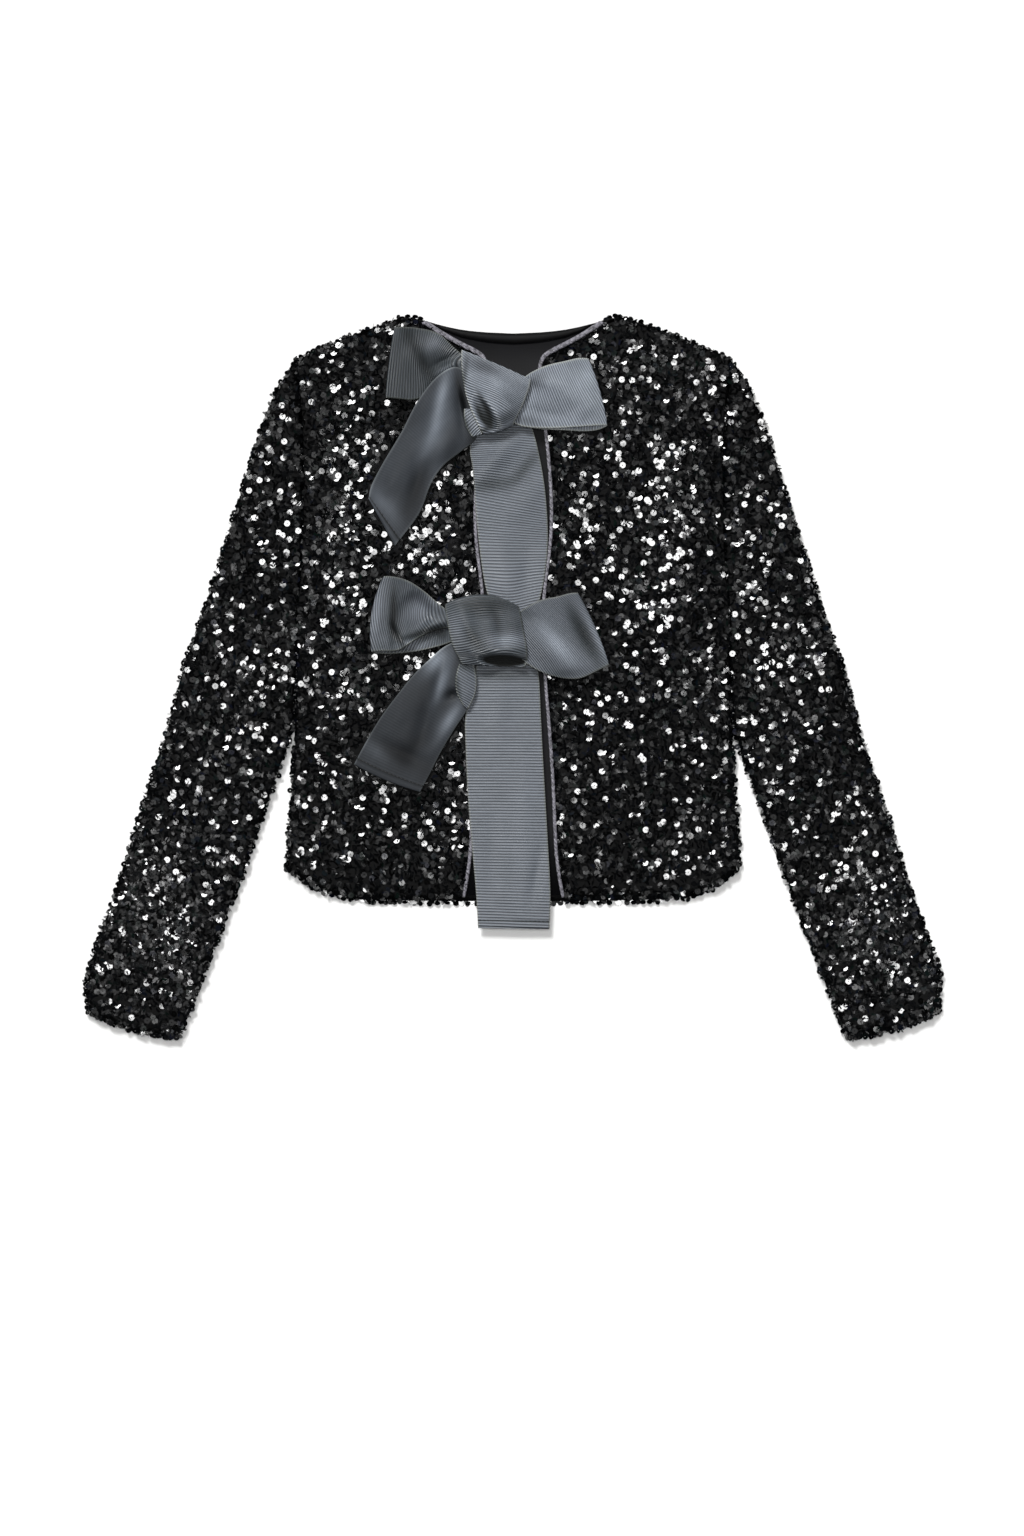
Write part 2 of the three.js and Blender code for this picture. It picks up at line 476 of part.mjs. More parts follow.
// The binding follows the last column of its front panel, from the neck to the hem. Its section runs
// outwards from the panel, and up is counted in domes.
function binding(side, front) {
  const outer = [];
  const inner = [];
  const last = front.outer[0].length - 1;
  const profile = [
    { out: 0, up: 0 },
    { out: 0.35, up: 0.8 },
    { out: 0.75, up: 0.8 },
    { out: 1, up: -1 },
  ];
  front.outer.forEach((row, i) => {
    const point = row[last];
    const normal = point.clone().sub(front.inner[i][last]).normalize();
    const next = front.outer[Math.min(i + 1, front.outer.length - 1)][last];
    const before = front.outer[Math.max(i - 1, 0)][last];
    const along = next.clone().sub(before).normalize();
    const out = new THREE.Vector3().crossVectors(along, normal).multiplyScalar(side).normalize();
    const width = point.y > NECK_CORNER_Y ? NECK_BINDING : EDGE_BINDING;
    const at = ({ out: share, up }, depth) =>
      point
        .clone()
        .addScaledVector(out, SEAM + share * width)
        .addScaledVector(normal, up * BINDING_DOME - depth);
    outer.push(profile.map((step) => at(step, 0)));
    inner.push(profile.map((step) => at({ ...step, up: -step.up / 2 }, CLOTH)));
  });
  return clothBody(outer, inner);
}

const shoulderAndNeck = [...shoulderLine, ...backNeck.slice(1)];

function backPanel() {
  const bothSides = (rows) => [...rows.map((row) => ({ ...row, x: -row.x })), ...rows.slice(0, -1).reverse()];
  const neckEnd = backNeck[0].x;
  return panel({
    top: track(bothSides(shoulderAndNeck)),
    bottom: track(bothSides(backHem)),
    left: sideEdge(-1),
    right: sideEdge(1),
    across: stepsOver(true, evenly(16), true),
    down: stepsOver(true, evenly(13), false),
    sideFold: sideFoldAt,
    topFold: (x) => THREE.MathUtils.smoothstep(Math.abs(x), neckEnd, neckEnd + 8),
    facing: -1,
    drape: () => 0,
  });
}

// The lining is a level panel on the back, held in from the seams.
function backLining() {
  const base = SEAM_HEIGHT - SEAM / 2 - FOLD_RADIUS + CLOTH + SEAM;
  const side = sideEdge(1);
  const rows = [];
  const count = 9;
  for (let i = 0; i <= count; i++) {
    const part = i / count;
    const edge = side(0.06 + 0.93 * part);
    const half = edge.x - LINING_INSET;
    const row = [];
    for (let j = 0; j <= 12; j++) {
      const x = half * (j / 6 - 1);
      const held = THREE.MathUtils.smoothstep(Math.abs(x), LINING_NECK_HALF, backNeck[0].x);
      const top = heightIn(shoulderAndNeck, x) - THREE.MathUtils.lerp(LINING_NECK_INSET, LINING_INSET, held);
      const low = heightIn(backHem, x) + LINING_HEM_INSET;
      row.push(new THREE.Vector3(x, THREE.MathUtils.lerp(top, low, part), base + LINING));
    }
    rows.push(row);
  }
  return clothBody(rows, rows.map((row) => row.map((point) => point.clone().setZ(base))));
}

// A table's height at a distance from the middle, in straight stretches.
function heightIn(table, x) {
  const away = Math.abs(x);
  for (let i = 1; i < table.length; i++) {
    const [far, near] = [table[i - 1], table[i]];
    if (away > far.x || away < near.x) continue;
    return THREE.MathUtils.mapLinear(away, near.x, far.x, near.y, far.y);
  }
  return table[0].y;
}

// The facing is a crescent on the lining, under the back neck.
function neckFacing() {
  const base = SEAM_HEIGHT - SEAM / 2 - FOLD_RADIUS + CLOTH + SEAM + LINING + SEAM;
  const spans = 18;
  const rows = [];
  for (let i = 0; i <= spans; i++) {
    const x = FACING_REACH * ((2 * i) / spans - 1);
    const top = heightIn(backNeck, x) - LINING_NECK_INSET;
    const depth = THREE.MathUtils.lerp(FACING_DEPTH, FACING_END_DEPTH, (x / FACING_REACH) ** 2);
    rows.push([new THREE.Vector3(x, top, base + LINING), new THREE.Vector3(x, top - depth, base + LINING)]);
  }
  return clothBody(rows, rows.map((row) => row.map((point) => point.clone().setZ(base))));
}

// A sleeve is a flattened tube. Its rings go over the top from the outer fold and back underneath.
function sleeveBody(side) {
  const stations = 19;
  const over = stepsOver(true, evenly(7), true);
  const under = over.slice(1, -1).reverse();
  const line = track(sleeve, ["outerX", "outerY"]);
  const radius = TOP / 2;
  const outer = [];
  const inner = [];
  for (let i = 0; i <= stations; i++) {
    const row = line(i / stations);
    const start = new THREE.Vector2(row.outerX, row.outerY);
    const end = new THREE.Vector2(row.innerX, row.innerY);
    const way = end.clone().sub(start).normalize();
    const width = start.distanceTo(end);
    const ring = [];
    const core = [];
    const add = (step, facing) => {
      const { at, lift, lean } = place(step, width, [1, 1]);
      const hollow = row.hollow * 4 * at * (1 - at);
      const plan = start.clone().lerp(end, at).add(new THREE.Vector2(way.y, -way.x).multiplyScalar(hollow));
      const drape = facing > 0 ? relief(side * plan.x, plan.y) * lift : 0;
      const normal = new THREE.Vector3(side * way.x * lean, way.y * lean, facing * lift).normalize();
      const point = new THREE.Vector3(side * plan.x, plan.y, radius * (1 + facing * lift) + drape);
      ring.push(point);
      core.push(point.clone().addScaledVector(normal, -CLOTH));
    };
    over.forEach((step) => add(step, 1));
    under.forEach((step) => add(step, -1));
    outer.push(ring);
    inner.push(core);
  }
  return clothBody(outer, inner, true);
}

// A stretch of ribbon between its two edges.
function ribbonBody(table, rows, columns) {
  const line = track(table, ["ax", "ay", "az", "bx", "by", "bz"]);
  const spot = (part, across) => {
    const row = line(part);
    const a = new THREE.Vector3(row.ax, row.ay, row.az);
    const b = new THREE.Vector3(row.bx, row.by, row.bz);
    const rise = 4 * across * (1 - across);
    const way = b.clone().sub(a).normalize();
    const point = a.lerp(b, across);
    point.z += row.arch * rise + relief(point.x, point.y);
    point.x += way.y * row.bulge * rise;
    point.y -= way.x * row.bulge * rise;
    return point;
  };
  const outer = [];
  const inner = [];
  const near = 0.004;
  for (let i = 0; i <= rows; i++) {
    const outerRow = [];
    const innerRow = [];
    for (let j = 0; j <= columns; j++) {
      const part = i / rows;
      const across = j / columns;
      const along = spot(Math.min(part + near, 1), across).sub(spot(Math.max(part - near, 0), across));
      const over = spot(part, across + near).sub(spot(part, across - near));
      const normal = along.cross(over).normalize();
      outerRow.push(spot(part, across).addScaledVector(normal, RIBBON / 2));
      innerRow.push(spot(part, across).addScaledVector(normal, -RIBBON / 2));
    }
    outer.push(outerRow);
    inner.push(innerRow);
  }
  return clothBody(outer, inner);
}

function piece(name, geometry, material) {
  const mesh = new THREE.Mesh(geometry, material);
  mesh.name = name;
  return mesh;
}

function jacketBody() {
  const group = new THREE.Group();
  const back = backPanel();
  group.add(piece("back_panel", clothBody(back.outer, back.inner), sequinned));
  group.add(piece("back_lining", backLining(), liningCloth));
  group.add(piece("back_neck_facing", neckFacing(), liningCloth));
  for (const [name, side] of [["left", -1], ["right", 1]]) {
    const front = frontPanel(side);
    group.add(piece(name + "_front", clothBody(front.outer, front.inner), sequinned));
    group.add(piece(name + "_binding", binding(side, front), satin));
    group.add(piece(name + "_sleeve", sleeveBody(side), sequinned));
  }
  return group;
}

function ribbonBows() {
  const group = new THREE.Group();
  for (const [name, table] of Object.entries(bows)) {
    const looped = name.endsWith("loop");
    group.add(piece(name, ribbonBody(table, looped ? 18 : 12, 6), grosgrain));
  }
  return group;
}

const jacket = new THREE.Group();
jacket.add(jacketBody(), ribbonBows());

export default jacket;
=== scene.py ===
import itertools
import math

import bmesh
import bpy
import numpy as np
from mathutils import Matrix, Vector
from mathutils.bvhtree import BVHTree


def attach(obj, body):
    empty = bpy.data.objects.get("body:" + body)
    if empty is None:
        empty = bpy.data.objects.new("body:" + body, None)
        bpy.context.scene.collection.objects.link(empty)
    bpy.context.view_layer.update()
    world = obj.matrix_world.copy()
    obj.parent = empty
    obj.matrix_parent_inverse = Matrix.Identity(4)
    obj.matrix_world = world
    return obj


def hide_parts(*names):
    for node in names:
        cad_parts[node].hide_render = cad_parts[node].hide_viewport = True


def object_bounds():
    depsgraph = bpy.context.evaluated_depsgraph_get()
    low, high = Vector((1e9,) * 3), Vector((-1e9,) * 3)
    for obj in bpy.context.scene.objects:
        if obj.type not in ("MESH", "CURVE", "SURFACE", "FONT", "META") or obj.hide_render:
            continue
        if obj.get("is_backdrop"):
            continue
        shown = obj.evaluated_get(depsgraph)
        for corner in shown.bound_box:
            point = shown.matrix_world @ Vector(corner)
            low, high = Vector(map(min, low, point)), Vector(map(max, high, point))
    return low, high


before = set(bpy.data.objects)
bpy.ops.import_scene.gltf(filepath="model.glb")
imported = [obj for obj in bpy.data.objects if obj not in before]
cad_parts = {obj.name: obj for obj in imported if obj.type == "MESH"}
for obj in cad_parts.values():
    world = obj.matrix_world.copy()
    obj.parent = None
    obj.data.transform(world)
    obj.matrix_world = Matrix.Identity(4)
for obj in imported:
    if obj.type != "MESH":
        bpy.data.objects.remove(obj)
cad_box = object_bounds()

bl_info = {
    "name": "Sequinned Bow Jacket",
    "version": (1, 0, 0),
    "blender": (4, 5, 0),
    "location": "View3D > Sidebar > Jacket",
    "description": "Dresses the laid-out jacket with cloth, sequins, satin binding and grosgrain bows",
    "category": "Object",
}

# Everything is in metres, in the frame of the CAD part. Tables, and values with no unit named, are in
# millimetres and degrees.
MM = 0.001
SEAM_LEVEL = 4.5
UP = Vector((0, 0, 1))

# Cloth lies this far under the CAD surface, so that the sequins reach it.
CLOTH_INSET = 0.8
LINING_INSET = 0.1

# The shell's nodes, each with its cut, width and length in metres and area in square metres, and what
# it rests on
SHELL = {
    "back_panel": ((0.393, 0.506), 0.181, []),
    "left_front": ((0.178, 0.499), 0.074, ["back_panel_cloth"]),
    "right_front": ((0.178, 0.499), 0.074, ["back_panel_cloth"]),
    "left_sleeve": ((0.449, 0.590), 0.0936, []),
    "right_sleeve": ((0.449, 0.590), 0.0936, []),
}

# Sequins: discs, punched in the middle and sewn on by it. Those of the underside have fewer sides and
# no hole. Of the places that are drawn for them, most lie too near another and are left out.
SEQUIN_SIDES, HOLE_SIDES, UNDER_SIDES = 10, 5, 7
HOLE_SHARE = 0.19
DRAWS_PER_PLACE = 5
FIRST_SEED, FIRST_UNDER_SEED = 40, 60

# How far a sequin tilts: the usual spread on rough and on smooth cloth, then the share that stands up
# and its tilts
ROUGH_SPREAD, SMOOTH_SPREAD = 44, 11
STANDING_SHARE, STANDING_TILTS = 0.12, (40, 78)

# How deep its middle lies under the CAD surface: at least, more with its tilt up to a full one, and
# by chance
LEAST_SINK, TILT_SINK, FULL_TILT, CHANCE_SINK = 0.1, 0.8, 45, 0.3

# On the rim of a fold sequins stand further out the more they tilt. On the underside they lie nearly
# flat, at a share of their tilt
RIM_TILTS, RIM_SINK, RIM_RISE = (25, 90), 0.6, 2.4
UNDER_TILT, UNDER_TILT_SHARE, UNDER_SINKS = 30, 0.25, (0.35, 0.7)

# Under a ribbon: how far round a place and above it the ribbon is looked for, from how near it presses
# on the sequins, and how they lie then
COVERED_REACH, COVERED_HEIGHT, PRESSING_HEIGHT = 3.6, 30, 3.5
PRESSED_TILT, PRESSED_SINK = 8, 1.0

# On a sewn line: its half width, the share left out, and how the others lie
SEAM_HALF, SEAM_GAPS, SEAM_TILT, SEAM_SINK = 1.5, 0.6, 30, 1.3

# How much a sequin is bent, from the share of the spread on more than below it
FLAT_BEND, ROUGH_BEND, BENT_FROM = 0.04, 0.3, 0.8

# The cloth's normal rises by more than this on an upper side and falls by more than it on an underside,
# and between them is a rim
LEVEL = 0.5

# The back neck is a clean edge: no sequins within this half width, above this height, this near it. The
# edge is looked for from below the floor, a little nearer to the middle
NECK_HALF = 79
NECK_BOTTOM = 284
NECK_CLEAR = 3.4
NECK_NARROWING = 0.98
BELOW = -10

# Finding the outer skin: how far a face may turn away, the least double area of one in square metres,
# the seam's thickness, where a ray starts above a face, and its length
TURNED_AWAY, SMALLEST_FACE = -0.25, 1e-12
SEAM_THICKNESS, RAY_START, RAY_LENGTH = 0.2, 0.4, 100

# Corners are the same where they agree in steps of 1/200,000 of a metre; the last is a guard for divisions
CORNER_STEPS = 2e5
NOTHING = 1e-15

# The armhole seam and the soft folds of the upper cloth, as in the part.
SHOULDER = (183.9, 270.3)
UNDERARM = (184.7, 45.9)
ARMHOLE_HOLLOW = 5.5
ARMHOLE_DIP = 2.2
ARMHOLE_DIP_WIDTH = 11

# The dip grows and fades between these shares of the armhole, and the seam's stitches start at the last
ARMHOLE_DIP_START, ARMHOLE_DIP_END, ARMHOLE_STITCHED = (0.1, 0.35), (1, 1.2), 0.04

# x, y, way of the fold in degrees, half length, half width, height
SOFT_FOLDS = [
    (-226, 118, -72, 62, 14, 1.6), (-214, 40, -58, 44, 11, -1.5), (-262, -20, -68, 52, 13, 1.4),
    (-256, -96, -40, 30, 11, -1.2), (-306, -178, -70, 48, 13, 1.3), (-142, 92, -84, 90, 17, 1.5),
    (-108, -96, 86, 66, 16, 1.2), (-160, -10, 60, 40, 12, -1.1), (-128, 222, 24, 46, 15, 1.2),
    (230, 104, 72, 58, 13, 1.7), (210, 28, 56, 46, 12, -1.4), (266, -34, 67, 56, 13, 1.2),
    (262, -112, 42, 32, 10, -1.3), (310, -190, 70, 44, 14, 1.4), (138, 84, 83, 84, 16, 1.6),
    (112, -84, -85, 70, 17, 1.1), (158, -18, -58, 38, 12, -1.2), (132, 214, -26, 44, 15, 1.1),
]

# Lines sewn through the sequins of the right half: the turn-ups of the hem and of the cuff
SEWN_LINES = [
    [(44, -177.6), (110, -177.4), (147, -175), (172, -166.5), (184, -158)],
    [(279.5, -293), (358, -270)],
]

# Where the cloth lies smooth and its sequins face the same way: x, y, way, half length, half width, share
SMOOTH_PLACES = [
    (-146, 112, 90, 112, 17, 0.95), (-74, 130, 88, 60, 15, 0.8), (134, 106, 90, 108, 19, 0.85),
    (58, 160, 88, 52, 12, 0.6), (-240, 30, -68, 120, 24, 0.3), (246, 20, 68, 120, 30, 0.4),
    (-304, -205, -66, 105, 48, 1.1), (314, -205, 66, 100, 48, 1.1),
]

# Ribbon, as in the part. A row crosses it from edge a to edge b: ax, ay, az, bx, by, bz, arch, bulge
BOWS = {
    "upper_bow_left_loop": [
        (-36, 262, 12.4, -37, 250, 12.2, 0, 0), (-54, 272, 11, -54, 243, 10.8, 0, 0),
        (-76, 286, 10.4, -78, 236.5, 10.3, 0, 0), (-94, 294, 10.4, -99, 235.4, 10.3, 0, 0),
        (-100.6, 295.8, 14, -108.2, 236.3, 13.2, 0, 1), (-94, 295.8, 17.6, -100, 235.2, 16.2, 0.5, 0),
        (-80, 294.6, 18.6, -84, 234.2, 16.6, 0.5, 0), (-64, 290, 18.4, -68, 240, 16.4, 0.5, 0),
        (-50, 278, 17.4, -54, 250, 16.2, 0.4, 0), (-38, 268, 16.6, -40, 256, 16, 0, 0),
    ],
    "upper_bow_right_loop": [
        (3, 246, 13, -4, 218, 13, 0, 0), (20, 256, 11.8, 14, 211, 12.2, 0, 0),
        (38, 262, 11.4, 42, 208.8, 11.4, 0, 0), (55, 267.4, 11.4, 70, 208.6, 11.4, 0, 0),
        (63.5, 269, 14.4, 79.6, 212.4, 14, 0, -2), (57, 269.4, 17.8, 71, 212.2, 16.8, 0.5, 0),
        (43, 266.4, 19.4, 50, 210.6, 18, 1, 0), (27, 262.4, 19.4, 27, 209.8, 18, 1, 0),
        (15, 256.6, 18.4, 8, 211.4, 17.4, 1, 0), (4, 249, 17, -3, 216, 16.4, 0.5, 0),
    ],
    "upper_bow_knot": [
        (-40, 270, 20, 10.4, 247, 19.9, 2, 0), (-43.6, 275.4, 22, 14.2, 250.8, 21, 3, -0.4),
        (-44, 269, 24.4, 14, 246, 23, 3.4, 0), (-43, 254, 25, 11.6, 238, 23.4, 4.2, 0),
        (-39.7, 236.3, 24.2, 7.6, 228, 22.8, 4.6, 0), (-32.6, 218, 22.6, 1.6, 216.4, 21.8, 3.6, 0),
        (-25.8, 205.6, 18.8, -1.1, 212.4, 18.4, 2, 2), (-25.4, 208.6, 15.2, -4.2, 213.6, 15, 1, 2),
    ],
    "upper_bow_left_tail": [
        (-38, 256, 19.4, -30, 224, 18.2, 0.6, 0), (-49.6, 261.4, 20, -33, 211, 17, 1.6, 0),
        (-63.2, 254.2, 20.4, -31.6, 201.6, 15.4, 2, 0), (-80.2, 233.8, 19.6, -43.6, 191.3, 13.4, 2.6, 0),
        (-95.5, 205.7, 14.6, -60, 178, 12, 3.2, 0), (-111, 180, 11.6, -70.5, 162, 11, 3, 0),
        (-120.4, 162, 10.3, -80, 138, 10.5, 2, 0), (-122.9, 150.5, 9.9, -100.6, 110.5, 9.9, 0.6, 0),
    ],
    "upper_bow_centre_tail": [
        (-33, 214, 10.6, 12, 222, 10.6, 0.3, 0), (-36.8, 194, 10, 18.6, 202, 10, 0.6, 0),
        (-34.3, 175, 10, 24.6, 174, 10, 0.5, 0), (-32.6, 150, 10, 28.2, 144, 10, 0.3, 0),
        (-28.7, 108, 10, 29, 108, 10, 0.3, 0), (-24.3, 79, 10, 25.6, 79, 10, 0.5, 0),
        (-20.5, 64, 10.2, 21.8, 62, 10.2, 0.6, 0), (-17, 48, 10.4, 18, 48, 10.4, 0.6, 0),
    ],
    "lower_bow_left_loop": [
        (-48, 49, 14, -47, 31, 15.6, 0, 0), (-66, 60, 11.6, -62, 25.6, 14.6, 0, 0),
        (-84, 73, 10.6, -84, 20.6, 12.4, 0, 0), (-102, 82, 10.4, -110, 18.8, 11, 0, -2),
        (-109.9, 84.2, 14.6, -120.1, 20.4, 14.6, 0, 5), (-103, 84.2, 19, -112.6, 21, 18, -0.6, 4),
        (-90, 80.8, 20.6, -98, 21.6, 19.6, -2, 0), (-75, 71.2, 20.6, -81, 32, 20, -2, 0),
        (-62, 60, 19.4, -64, 39.6, 19, -0.6, 0), (-50, 52, 18.4, -50, 41.6, 18, 0, 0),
    ],
    "lower_bow_right_loop": [
        (0, 49, 13.2, 2, 20, 13, 0, 0), (16, 59, 12.2, 16, 7, 12.4, 0, 0), (33, 65, 11.4, 40, 0.4, 11.4, 0, 0),
        (47, 69.6, 11.4, 66, 2, 11.4, 0, 0), (54.4, 70.4, 14.4, 81.1, 9.4, 14, 0, -2),
        (48.6, 70, 17.8, 73, 5.2, 16.8, 0.8, 0), (37, 67, 19.6, 55, -2.4, 18, 1.4, 0),
        (23, 64, 19.8, 32, 0.2, 18.4, 1.4, 0), (12, 58.6, 18.8, 15, 8, 17.8, 1, 0),
        (1, 51, 17.4, 3, 18, 16.8, 0.5, 0),
    ],
    "lower_bow_knot": [
        (-53, 56, 20.4, 0.6, 54.4, 19.8, 2, -7), (-57.2, 60.4, 22.6, 4, 58.7, 21.6, 2.6, -8.6),
        (-57, 53, 24.8, 6, 52, 23.4, 3, -6), (-54.8, 40, 25.2, 8.6, 38, 23.8, 3.8, -2),
        (-51.4, 26, 24.6, 11, 25, 23.4, 4.2, 0), (-46.6, 16, 22.2, 11.6, 14.6, 21.4, 3.6, 0),
        (-42.8, 9.6, 18.8, 9.6, 7.6, 18.2, 2.4, 0), (-41.6, 12.2, 16.6, 7.6, 10.4, 16.2, 1.4, 0),
    ],
    "lower_bow_left_tail": [
        (-50, 29, 15.4, -33, 12, 14, 0, 0), (-59.6, 24, 14.6, -31.6, 0, 13.6, 1.2, 0),
        (-71, 14, 13.6, -33, -14, 13.4, 2.4, 0), (-84, 1.6, 12.4, -39.6, -29, 12.6, 2.6, 0),
        (-99.7, -17.9, 11.4, -50.6, -46, 11.6, 2.6, 0), (-113, -36, 10.8, -61.6, -64.6, 11, 2, 0),
        (-126, -57.6, 10.6, -70.6, -82.4, 10.6, 1.2, 0), (-135.4, -75.2, 10.4, -79.3, -98.6, 10.4, 0.4, 2),
    ],
    "lower_bow_centre_tail": [
        (-30, 24, 10.8, 18, 24, 10.8, 0.5, 0), (-32.6, 0, 10.2, 21.6, 0, 10.2, 0.5, 0),
        (-40.6, -34, 10, 23.4, -34, 10, 0.3, 0), (-40.4, -62, 10, 24.8, -62, 10, 0.3, 0),
        (-38.5, -104, 10, 27.2, -104, 10, 0.3, 0), (-35.4, -142, 10, 29.4, -142, 10, 0.3, 0),
        (-31.6, -185, 9.9, 31.5, -186, 9.9, 0.4, 0), (-29.8, -214.2, 9.2, 30.6, -215.1, 9.2, 0.6, 0),
    ],
}

# Creases of the ribbon, each on the layer that shows: x, y, way in degrees, half length, half width, height
RIBBON_CREASES = {
    "upper_bow_left_loop": [
        (-89, 284, 62, 13, 8, -3.4), (-65, 278, 40, 12, 10, 4.6), (-78, 262, -72, 20, 5, -3.0),
        (-96, 252, 84, 16, 7, 1.0), (-56, 261, 30, 11, 3.2, 3.2), (-58, 268, 30, 10, 2.4, -2.2),
    ],
    "upper_bow_right_loop": [
        (22, 250, -18, 20, 5, 2.2), (40, 240, -26, 30, 8, 2.8), (58, 258, -30, 10, 6, -1.8),
        (26, 222, -10, 22, 6, -2.0), (58, 222, 40, 16, 6, 1.4), (10, 236, 64, 14, 4, -1.6),
    ],
    "upper_bow_knot": [
        (-31, 238, -68, 22, 4.5, 2.2), (-10, 236, -58, 22, 6, 3.6), (-26, 257, -24, 14, 5, -2.2),
        (2, 228, -38, 14, 4, -2.4), (-12, 219, -62, 12, 3.4, 2.4),
    ],
    "upper_bow_left_tail": [
        (-63, 226, 76, 36, 7, 3.8), (-79, 222, 56, 22, 6, -1.6), (-45, 228, -82, 17, 4, -4.5),
        (-80, 172, 72, 26, 8, -3.4), (-58, 194, 50, 16, 7, 2.2), (-104, 166, 60, 26, 7, 1.6),
    ],
    "upper_bow_centre_tail": [
        (-14, 186, 44, 27, 9, 4.6), (14, 152, 44, 26, 10, 1.4), (12, 84, 86, 22, 8, -1.4),
        (-8, 92, 92, 28, 10, 1.2),
    ],
    "lower_bow_left_loop": [
        (-104, 53, 84, 21, 3.6, 2.0), (-98, 32, -64, 12, 2.6, -3.6), (-90, 27, -20, 14, 4, 1.8),
        (-64, 35, 22, 13, 4, -3.6), (-69, 43, 16, 13, 3, 1.8), (-70, 62, -36, 12, 4, 1.6),
    ],
    "lower_bow_right_loop": [
        (31, 23, -46, 28, 12, 6.4), (58, 35, -60, 26, 7, -3.6), (69, 40, -66, 32, 3.4, 2.2),
        (18, 50, -24, 14, 4, -1.2),
    ],
    "lower_bow_knot": [
        (-40, 44, -66, 20, 7, 2.6), (-24, 50, 8, 18, 6, -2.0), (-12, 40, -78, 14, 5, -2.6),
        (2, 40, -78, 16, 6, 1.6), (-32, 17, -40, 10, 4, 1.8), (-8, 22, 2, 20, 3, 2.0),
    ],
    "lower_bow_left_tail": [
        (-62, -5, 78, 24, 5, 3.6), (-52, -16, 20, 6, 4, -3.4), (-73, -38, 70, 26, 8, -3.4),
        (-93, -66, -24, 22, 7, -1.8), (-100, -34, 52, 26, 8, 1.6), (-56, -44, 56, 20, 6, 2.0),
    ],
    "lower_bow_centre_tail": [
        (-12, -24, 84, 26, 9, 0.9), (10, -116, 91, 44, 9, 0.8), (20, -168, 78, 22, 5, -1.4),
        (-18, -150, 88, 34, 7, -0.7),
    ],
}

# Pockets in the knots and the dish of a loop, with steep walls and a level bottom, in the same columns
RIBBON_POCKETS = {
    "upper_bow_knot": [(-24.4, 221, -62, 15, 6, -5.4)],
    "lower_bow_knot": [(-8, 12.8, -3, 19.5, 5, -8)],
    "lower_bow_left_loop": [(-85, 51, 74, 19, 14, -5.2)],
}

# Painted light and shade on the ribbon's colour, from dark to bright: its plain share as a power of e,
# then soft patches as x, y, way in degrees, half length, half width, change
RIBBON_PAINTED_LIGHT = {
    "upper_bow_left_loop": (-0.88, [
        (-98, 262, 84, 30, 10, -0.15), (-79, 270, -62, 26, 5, -0.9), (-67, 280, 30, 12, 9, 0.95),
        (-57, 259, 25, 9, 3, 1.0), (-58, 253, 28, 13, 2.4, -1.1),
    ]),
    "upper_bow_right_loop": (0.74, [
        (17, 249, 30, 10, 6, -0.7), (62, 256, 60, 16, 10, 0.2), (12, 216, -10, 13, 5, -0.6),
        (38, 226, -8, 24, 8, -0.15),
    ]),
    "upper_bow_knot": (0.6, [
        (-25, 262, -25, 15, 6, -0.75), (-42.5, 246, 82, 22, 2.2, -1.3), (-6, 218, 30, 15, 5, -0.9),
        (-14, 246, 20, 12, 9, 0.2), (-22.6, 227, -58, 12, 2, -2.0), (-24, 208.5, 12, 9, 1.8, -1.6),
    ]),
    "upper_bow_left_tail": (0.45, [
        (-60, 238, 76, 26, 6.4, 1.45), (-68, 202, 62, 30, 9, 1.3), (-43, 234, -78, 18, 3, -2.3),
        (-82, 158, 72, 26, 8, -1.2), (-66, 172, 66, 18, 6, 0.5), (-110, 146, -50, 22, 8, 0.85),
        (-33, 200, 30, 6, 5, -1.0),
    ]),
    "upper_bow_centre_tail": (0.2, [
        (-10, 208, 6, 28, 6, -0.4), (-18, 163, 8, 18, 5.5, -0.85), (10, 177, 50, 17, 4.5, -0.75),
        (6, 192, 30, 16, 6, 0.15),
    ]),
    "lower_bow_left_loop": (-0.3, [
        (-116, 54, 80, 26, 5, 0.75), (-88, 27, -8, 20, 5, 0.6), (-102, 52, 88, 20, 2.8, -2.0),
        (-81, 56, 30, 14, 10, 0.6), (-75, 37, 18, 19, 2.8, -1.9), (-98, 34, -64, 11, 3, -1.9),
        (-61, 36, 0, 6, 5, -1.2),
    ]),
    "lower_bow_right_loop": (0.08, [
        (39, 24, -50, 24, 8, 0.9), (60, 35, -62, 24, 5.5, -1.6), (72, 30, -62, 26, 3, 0.7),
        (45, 2, 4, 18, 4, -0.5), (10, 52, -30, 9, 6, -0.5),
    ]),
    "lower_bow_knot": (-0.36, [
        (-24, 60, 0, 26, 7, -1.0), (-47, 42, -80, 14, 8, 0.6), (-5, 30, 0, 17, 6, 1.0),
        (-33, 31, -55, 14, 4.5, -0.8),
    ]),
    "lower_bow_left_tail": (0.1, [
        (-66, 13, 50, 16, 8, 1.9), (-60, -6, 70, 20, 5, 1.9), (-51, -16, 20, 6, 4, -1.0),
        (-80, -26, 60, 26, 10, -0.2), (-54, -38, 60, 22, 7, 1.7), (-86, -60, 40, 20, 8, -0.7),
        (-95, -68, -30, 26, 7, -0.8), (-118, -62, -40, 16, 7, 0.7),
    ]),
    "lower_bow_centre_tail": (0.17, [
        (-8, 1, 0, 32, 4.5, -0.9), (12, -120, 88, 60, 12, 0.08),
    ]),
    "upper_bow_flap": (0.35, [(-40.6, 214, -70, 12, 2, -1.2)]),
    "lower_bow_flap": (0.1, [(-48, -8, -80, 16, 2.4, -1.1), (-40, 7, -20, 10, 3, -0.9)]),
}

